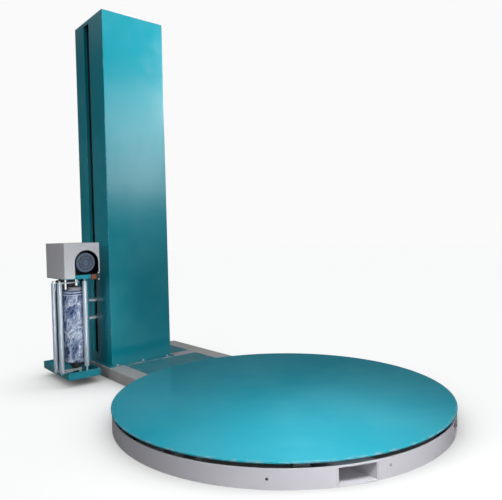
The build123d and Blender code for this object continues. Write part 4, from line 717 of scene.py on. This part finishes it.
def film_roll_piece():
    """Wrinkled roll with a roped upper edge and level ends wound round the core."""
    fold_depth, edge_round, end_fall = 6.8 * MM, 6 * MM, 1.5 * MM
    rope_start, rope_turns = 0.93, 2
    end_rings, end_inset, layers = 14, 4 * MM, 2400
    low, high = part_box("film_roll")
    core_low, core_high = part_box("film_core")
    centre = (low + high) / 2
    outer = (high.x - low.x) / 2
    inner = (core_high.x - core_low.x) / 2 + 0.2 * MM
    around, rows = ((340, 270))
    height = high.z - low.z
    angles = [2 * math.pi * i / around for i in range(around)]
    verts, folds, faces = [], [], []

    def add_point(radius, angle, z, fold):
        verts.append((centre.x + radius * math.cos(angle), centre.y + radius * math.sin(angle), z))
        folds.append(fold)

    def join(ring, after):
        for i in range(around):
            j = (i + 1) % around
            faces.append((ring[i], after[i], after[j], ring[j]))

    for row in range(rows + 1):
        share = row / rows
        z = low.z + height * share
        edge = max(0.0, 1 - min(share, 1 - share) * height / edge_round)
        for a in angles:
            raised = wrinkle(math.cos(a) * outer, math.sin(a) * outer, z, (low.z - z) * 5.5)
            if share > rope_start:
                along = (share - rope_start) / (1 - rope_start)
                rope = 0.5 + 0.5 * math.sin(along * 2 * math.pi * rope_turns + math.sin(a * 2) * 0.8)
                raised = raised * 0.35 + rope * 0.65
            add_point(outer - fold_depth * (1 - raised) - end_fall * edge * edge, a, z, raised)
    for row in range(rows):
        start = row * around
        for i in range(around):
            j = (i + 1) % around
            faces.append((start + i, start + j, start + around + j, start + around + i))
    bore_rings = []
    for row, edge_z, sign in ((0, low.z, 1), (rows, high.z, -1)):
        ring = [row * around + i for i in range(around)]
        for step in range(1, end_rings + 1):
            start = len(verts)
            share = step / end_rings
            r = (outer - end_inset) * (1 - share) + inner * share
            for a in angles:
                wave = math.sin(r * layers + a)
                dip = 0.8 * MM * (1 + wave) + 1.2 * MM * abs(noise.noise(Vector((a * 2, r * 90, row))))
                # The end ripple is also stored as fold, which the film's shader turns into painted shade and
                # highlight
                add_point(r, a, edge_z + sign * dip, 0.55 + 0.3 * wave)
            after = [start + i for i in range(around)]
            join(ring, after)
            ring = after
        bore_rings.append(ring)
    join(*bore_rings)
    piece = object_from("film_roll_wrinkled", verts, faces, MATERIALS["wound_film"], BODY_OF["film_roll"])
    piece.data.set_sharp_from_angle(angle=math.radians(75))
    # The fold height goes to the film's shader, which paints shade in the folds and highlight on the crests
    attribute = piece.data.attributes.new("fold", "FLOAT", "POINT")
    attribute.data.foreach_set("value", folds)
    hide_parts("film_roll")


def chain_path(c1, r1, c2, r2):
    """Closed outline round two circles: its length, and a function from length to point and heading."""
    c1, c2 = Vector(c1), Vector(c2)
    span = (c2 - c1).length
    along = math.atan2(c2.y - c1.y, c2.x - c1.x)
    lean = math.acos((r1 - r2) / span)
    run = math.sqrt(span * span - (r1 - r2) ** 2)
    arc2, arc1 = 2 * lean * r2, (2 * math.pi - 2 * lean) * r1
    total = 2 * run + arc1 + arc2

    def off_circle(centre, radius, angle, ahead=0.0):
        out = Vector((math.cos(angle), math.sin(angle)))
        heading = Vector((-out.y, out.x))
        return centre + out * radius + heading * ahead, heading

    def at(distance):
        d = distance % total
        if d < run:
            return off_circle(c1, r1, along - lean, d)
        d -= run
        if d < arc2:
            return off_circle(c2, r2, along - lean + d / r2)
        d -= arc2
        if d < run:
            return off_circle(c2, r2, along + lean, d)
        return off_circle(c1, r1, along + lean + (d - run) / r1)

    return total, at


CHAIN_PITCH = 19.05 * MM
TABLE_TEETH, DRIVE_TEETH, LIFT_TEETH = 76, 19, 16


def pitch_radius(teeth):
    """Radius on which a sprocket carries the chain's pins."""
    return CHAIN_PITCH / 2 / math.sin(math.pi / teeth)


def roller_chain(name, node, path, to_world, width):
    """Roller chain: bushed rollers and pairs of waisted side plates."""
    total, at = path
    count = round(total / CHAIN_PITCH)
    shape = Shape()
    roller_r, plate_half, plate_thick = CHAIN_PITCH * 0.30, CHAIN_PITCH * 0.36, width * 0.09
    inner_offset, outer_offset, waist_share, arc_steps = 0.34, 0.45, 0.72, 5
    pins = [at(total * i / count)[0] for i in range(count)]
    for i, pin in enumerate(pins):
        after = pins[(i + 1) % count]
        heading = (after - pin).normalized()
        side = Vector((-heading.y, heading.x))
        profile = [(-width * 0.30, roller_r), (width * 0.30, roller_r)]
        shape.turned(profile, 10, to_world @ Matrix.Translation((pin.x, pin.y, 0)))
        offset = width * (inner_offset if i % 2 else outer_offset)
        length = (after - pin).length
        for sign in (1, -1):
            outline = []
            for centre, start in ((after, -90), (pin, 90)):
                for step in range(arc_steps):
                    a = math.radians(start + 180 * step / (arc_steps - 1))
                    outline.append(centre + (heading * math.cos(a) + side * math.sin(a)) * plate_half)
            waist = side * plate_half * waist_share
            middle = pin + heading * (length / 2)
            outline.insert(arc_steps, middle + waist)
            outline.append(middle - waist)
            z0, z1 = sign * offset - plate_thick / 2, sign * offset + plate_thick / 2
            n = len(outline)
            verts = [to_world @ Vector((p.x, p.y, z)) for z in (z0, z1) for p in outline]
            faces = [list(range(n))[::-1], [n + k for k in range(n)]]
            faces += [[k, (k + 1) % n, n + (k + 1) % n, n + k] for k in range(n)]
            shape.add(verts, faces)
    piece = shape.make(name, MATERIALS["chain"], BODY_OF[node], SLOT_OF[node])
    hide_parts(node)


# ------------------------------------------------------------------ pieces
def carried_over():
    """Gives every CAD node its material, and rolls the edges of the sheet and bar work."""
    sheet_radius, bar_radius = 0.7 * MM, 1.0 * MM
    for node, obj in NODES.items():
        obj.data.materials.clear()
        obj.data.materials.append(MATERIAL_OF[node])
    sheet_edges = ["mast_shell", "mast_rear_cover", "mast_top_cap", "carriage_tray", "carriage_post",
                   "carriage_top_plate", "head_cover", "cabinet_body", "cabinet_door"]
    bar_edges = ["mast_base_flange", "carriage_arms", "dancer_arms", "trolley_plate", "guide_rails",
                 "side_beams", "fork_pockets", "base_cross_members", "floor_covers", "guide_shoes",
                 "wheel_brackets", "idler_bracket", "center_hub", "base_ring", "mast_anchor_bolts",
                 "display_panel", "main_switch", "tension_knob"]
    for node in sheet_edges:
        softened(node, sheet_radius, open_box=node in ("cabinet_body", "head_cover"))
    for node in bar_edges:
        softened(node, bar_radius)


def table_drive_chain():
    """Links in the plane of the table's sprockets."""
    low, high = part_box("table_drive_sprocket")
    chain_low, chain_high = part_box("table_chain")
    z = (chain_low.z + chain_high.z) / 2
    path = chain_path((0, 0), pitch_radius(TABLE_TEETH),
                      ((low.x + high.x) / 2, (low.y + high.y) / 2), pitch_radius(DRIVE_TEETH))
    roller_chain("table_chain_links", "table_chain", path, Matrix.Translation((0, 0, z)),
                 chain_high.z - chain_low.z)


def lift_drive_chain():
    """Links in the upright plane of the lift's sprockets."""
    radius = pitch_radius(LIFT_TEETH)
    top_low, top_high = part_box("lift_drive_sprocket")
    foot_low, foot_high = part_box("lift_idler_sprocket")
    chain_low, chain_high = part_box("lift_chain")
    x = (chain_low.x + chain_high.x) / 2
    y = (top_low.y + top_high.y) / 2
    z_top, z_foot = (top_low.z + top_high.z) / 2, (foot_low.z + foot_high.z) / 2
    path = chain_path((0, z_foot), radius, (0, z_top), radius)
    upright = Matrix(((0, 0, 1, x), (1, 0, 0, y), (0, 1, 0, 0), (0, 0, 0, 1)))
    roller_chain("lift_chain_links", "lift_chain", path, upright, chain_high.x - chain_low.x)


def threaded_film():
    """The layer drawn off the slow roller towards the dancer, pulled tight and finely creased."""
    inset, thickness, ripple_height = 1 * MM, 0.3 * MM, 0.9 * MM
    across, up = 40, 120
    low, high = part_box("film_web")
    start = Vector((high.x - inset, high.y - inset / 2, 0))
    end = Vector((low.x + inset, low.y + inset / 2, 0))
    along = end - start
    height = high.z - low.z - 2 * inset
    side = Vector((-along.y, along.x, 0)).normalized()
    verts, faces = [], []
    for i in range(up + 1):
        z = low.z + inset + height * i / up
        for j in range(across + 1):
            t = j / across
            ripple = noise.noise(Vector((t * 9.0, z * 3.0, 1.7))) * ripple_height * math.sin(math.pi * t)
            point = start + along * t + side * ripple
            verts.append((point.x, point.y, z))
    for i in range(up):
        for j in range(across):
            k = i * (across + 1) + j
            faces.append((k, k + 1, k + across + 2, k + across + 1))
    piece = object_from("threaded_film", verts, faces, MATERIALS["loose_film"], BODY_OF["film_web"])
    thicken = piece.modifiers.new("film", "SOLIDIFY")
    thicken.thickness = thickness
    thicken.offset = 0
    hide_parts("film_web")


def fan_grille():
    """Ribs, spokes and hub on the motor's fan cover, with thin black rings between the ribs: painted shade
    standing in for the dark seen through the slots.
    """
    low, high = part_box("stretch_motor")
    radius = (high.x - low.x) / 2
    first, pitch, rib_count, sides = 0.20 * radius, 0.095 * radius, 7, 72
    sunk, rise, half = 0.5 * MM, 1.6 * MM, 1.1 * MM
    out = facing(((low.x + high.x) / 2, low.y, (low.z + high.z) / 2), (0, -1, 0))
    shape = Shape()
    for step in range(rib_count):
        r = first + pitch * step
        profile = [(-sunk, r - half), (rise, r - half * 0.6), (rise, r + half * 0.6), (-sunk, r + half)]
        shape.turned(profile, sides, out, closed=True)
    hub = [(-sunk, 10.5 * MM), (2.2 * MM, 9.5 * MM), (3.0 * MM, 6.5 * MM), (2.6 * MM, 2.0 * MM)]
    shape.turned(hub, sides // 2, out)
    spokes, spoke_half, spoke_rise = 6, 1.2 * MM, rise * 0.9
    for spoke in range(spokes):
        turn = out @ Matrix.Rotation(2 * math.pi * spoke / spokes, 4, "Z")
        verts = []
        for along in (radius * 0.14, radius * 0.80):
            for wide in (-spoke_half, spoke_half):
                for tall in (-sunk, spoke_rise):
                    verts.append(turn @ Vector((along, wide, tall)))
        shape.add(verts, [(0, 1, 3, 2), (4, 6, 7, 5), (0, 2, 6, 4), (1, 5, 7, 3), (0, 4, 5, 1), (2, 3, 7, 6)])
    shape.make("fan_cover_ribs", MATERIALS["motor"], BODY_OF["stretch_motor"], SLOT_OF["stretch_motor"])
    # Black rings laid on the cover: painted shade in place of open slots
    slot_shade, back, front = Shape(), -0.4 * MM, 0.6 * MM
    for step in (1, 2, 4, 5):
        inner, outer = radius * 0.22 + pitch * step, radius * 0.275 + pitch * step
        profile = [(back, inner), (front, inner), (front, outer), (back, outer)]
        slot_shade.turned(profile, sides, out, closed=True)
    slot_shade.make("fan_cover_slot_shade", MATERIALS["black"], BODY_OF["stretch_motor"], SLOT_OF["film_mandrel"])


def limit_switch():
    """Small black switch with a plunger housing and two white screws, beside the knob."""
    width, height, depth, hang = 21 * MM, 56 * MM, 7.5 * MM, 18 * MM
    low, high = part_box("head_cover")
    x1 = high.x - 3 * MM
    x0 = x1 - width
    z0 = low.z - hang
    front = low.y - depth
    body, screws = Shape(), Shape()
    body.box((x0, front, z0), (x1, low.y - 0.2 * MM, z0 + height), 1.2 * MM)
    body.box((x0 + 4 * MM, front, z0 - 8 * MM), (x1 - 4 * MM, low.y - 2 * MM, z0 + 1 * MM), 1.0 * MM)
    for z in (z0 + 6 * MM, z0 + height - 6 * MM):
        screw(screws, ((x0 + x1) / 2, front + 0.1 * MM, z), (0, -1, 0), 4.8 * MM, 2.2 * MM)
    body.make("limit_switch", MATERIALS["black"], "carriage", SLOT_OF["film_mandrel"])
    screws.make("limit_switch_screws", MATERIALS["white"], "carriage", SLOT_OF["guide_shoes"])


def cover_screws():
    """Screw heads that hold the covers on, and the door's locks, one mesh for each body.
    A head's size is its radius and height."""
    fixed, lifted, hung = Shape(), Shape(), Shape()
    pan = (5.5 * MM, 2.8 * MM)
    flat = (6.5 * MM, 1.6 * MM)
    small = (4.5 * MM, 2.2 * MM)
    lock = (8.5 * MM, 3.0 * MM)
    rows, end_gap, side_gap = 9, 60 * MM, 16 * MM
    low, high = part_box("mast_rear_cover")
    for i in range(rows):
        z = low.z + end_gap + (high.z - low.z - 2 * end_gap) * i / (rows - 1)
        for x in (low.x + side_gap, high.x - side_gap):
            screw(fixed, (x, high.y, z), (0, 1, 0), *pan)
    corner = 20 * MM
    low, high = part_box("mast_top_cap")
    for x in (low.x + corner, high.x - corner):
        for y in (low.y + corner, high.y - corner):
            screw(fixed, (x, y, high.z - pan[1]), (0, 0, 1), *pan)
    plate_gap, row_gap = 12 * MM, 140 * MM
    low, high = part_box("floor_covers")
    first_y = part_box("mast_base_flange")[0].y - 30 * MM
    for x in (low.x + plate_gap, high.x - plate_gap):
        for row in range(3):
            screw(fixed, (x, first_y - row_gap * row, high.z - 0.4 * MM), (0, 0, 1), *flat)
    low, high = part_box("head_cover")
    z = low.z + 12 * MM
    for y in (low.y + 30 * MM, high.y - 30 * MM):
        for x, way in ((low.x, -1), (high.x, 1)):
            screw(lifted, (x, y, z), (way, 0, 0), *small)
    for x in (low.x + 50 * MM, high.x - 50 * MM):
        screw(lifted, (x, high.y, z), (0, 1, 0), *small)
    case_low, case_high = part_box("cabinet_body")
    low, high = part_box("cabinet_door")
    for z in (case_low.z + 140 * MM, case_high.z - 140 * MM):
        screw(hung, (low.x + 18 * MM, high.y - 0.5 * MM, z), (0, 1, 0), *lock)
    for shape, name, body in ((fixed, "cover_screws", "base"), (lifted, "head_cover_screws", "carriage"),
                              (hung, "door_locks", "door")):
        shape.make(name, MATERIALS["zinc"], body, SLOT_OF["mast_anchor_bolts"])


def weld_beads():
    """Rippled fillet welds where the base's steel is joined."""
    shape = Shape()

    def bead(start, end, size):
        start, end = Vector(start), Vector(end)
        along = end - start
        ripples = max(4, int(along.length / (size * 0.8)))
        profile = []
        for i in range(ripples * 3 + 1):
            t = i / (ripples * 3)
            fat = size * (0.80 + 0.20 * abs(math.sin(math.pi * t * ripples)))
            ends = min(1.0, 6 * t + 0.35, 6 * (1 - t) + 0.35)
            profile.append((along.length * t, fat * ends))
        shape.turned(profile, 8, facing(start, along))

    beam_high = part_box("side_beams")[1]
    flange_low, flange_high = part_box("mast_base_flange")
    beam_inner, top, lift = 300 * MM, beam_high.z - 0.5 * MM, 4 * MM
    seam_y = flange_low.y - 136 * MM
    for side in (1, -1):
        outer = side * beam_high.x
        bead((outer, seam_y, lift), (outer, seam_y, beam_high.z - lift), 2.4 * MM)
        bead((outer * 0.99, seam_y, top), (side * beam_inner, seam_y, top), 2.0 * MM)
    z, stitch = flange_low.z + 1 * MM, 70 * MM
    middle = (flange_low.x + flange_high.x) / 2
    for y in (flange_low.y, flange_high.y):
        for x in (flange_low.x + 30 * MM, middle - 80 * MM, flange_high.x - 100 * MM):
            bead((x, y, z), (x + stitch, y, z), 2.6 * MM)
    pocket_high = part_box("fork_pockets")[1]
    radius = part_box("base_ring")[1].x
    pocket_width = 160 * MM
    for x in (pocket_high.x, pocket_high.x - pocket_width):
        y = -math.sqrt(radius ** 2 - x ** 2) - 0.4 * MM
        for side in (1, -1):
            bead((side * x, y, 6 * MM), (side * x, y, pocket_high.z - 4 * MM), 1.8 * MM)
    shape.make("weld_beads", MATERIALS["beam"], "base", SLOT_OF["side_beams"])


def ring_stud():
    """Earth stud on the ring, left of the front."""
    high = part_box("base_ring")[1]
    heading = math.radians(-104.6)
    out = Vector((math.cos(heading), math.sin(heading), 0))
    point = out * (high.x - 0.8 * MM) + Vector((0, 0, high.z * 0.62))
    shape = Shape()
    screw(shape, point, out, 5.5 * MM, 3.4 * MM, sides=6, socket=False)
    shape.make("earth_stud", MATERIALS["zinc"], "base", SLOT_OF["mast_anchor_bolts"])


def cabinet_details():
    """Bezels round the buttons, plates behind the two switches, and cable glands under the case."""
    case_low, case_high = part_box("cabinet_body")
    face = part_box("display_panel")[0].y + 2 * MM
    rings, gland, plate = Shape(), Shape(), Shape()

    def on_face(node):
        low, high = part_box(node)
        return facing(((low.x + high.x) / 2, face, (low.z + high.z) / 2), (0, 1, 0))

    def flat_ring(hole, outer, thickness):
        return [(0, hole), (0, outer), (thickness, outer), (thickness, hole)]

    clearance, wall, rise, bevel = 0.6 * MM, 4 * MM, 3.6 * MM, 1.5 * MM
    for node in ("start_button", "stop_button"):
        low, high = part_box(node)
        hole = (high.x - low.x) / 2 + clearance
        outer = hole + wall
        profile = [(0, hole), (0, outer), (2.2 * MM, outer), (rise, outer - bevel), (rise, hole)]
        rings.turned(profile, 48, on_face(node), closed=True)
    stem_hole = 9.7 * MM
    for node, outer, thickness in (("estop_button", 31 * MM, 1.0 * MM), ("main_switch", 36 * MM, 0.9 * MM)):
        plate.turned(flat_ring(stem_hole, outer, thickness), 60, on_face(node), closed=True)
    mid_x, mid_y = (case_low.x + case_high.x) / 2, case_low.y + 60 * MM
    nut_and_cap = [(0, 12.5), (4, 12.5), (5, 14.5), (13, 14.5), (14, 11), (26, 9.5), (27, 6), (20, 5.5)]
    profile = [(along * MM, radius * MM) for along, radius in nut_and_cap]
    for shift in (-50 * MM, 0.0, 50 * MM):
        gland.turned(profile, 12, facing((mid_x + shift, mid_y, case_low.z), (0, 0, -1)))
    rings.make("button_bezels", MATERIALS["turned"], "door", SLOT_OF["table_spindle"])
    plate.make("switch_plates", MATERIALS["yellow"], "door", SLOT_OF["tension_knob"])
    gland.make("cable_glands", MATERIALS["black"], "base", SLOT_OF["main_switch"])


# ------------------------------------------------------------------ the whole model
carried_over()
film_roll_piece()
table_drive_chain()
lift_drive_chain()
threaded_film()
fan_grille()
limit_switch()
cover_screws()
weld_beads()
ring_stud()
cabinet_details()
make_stage()
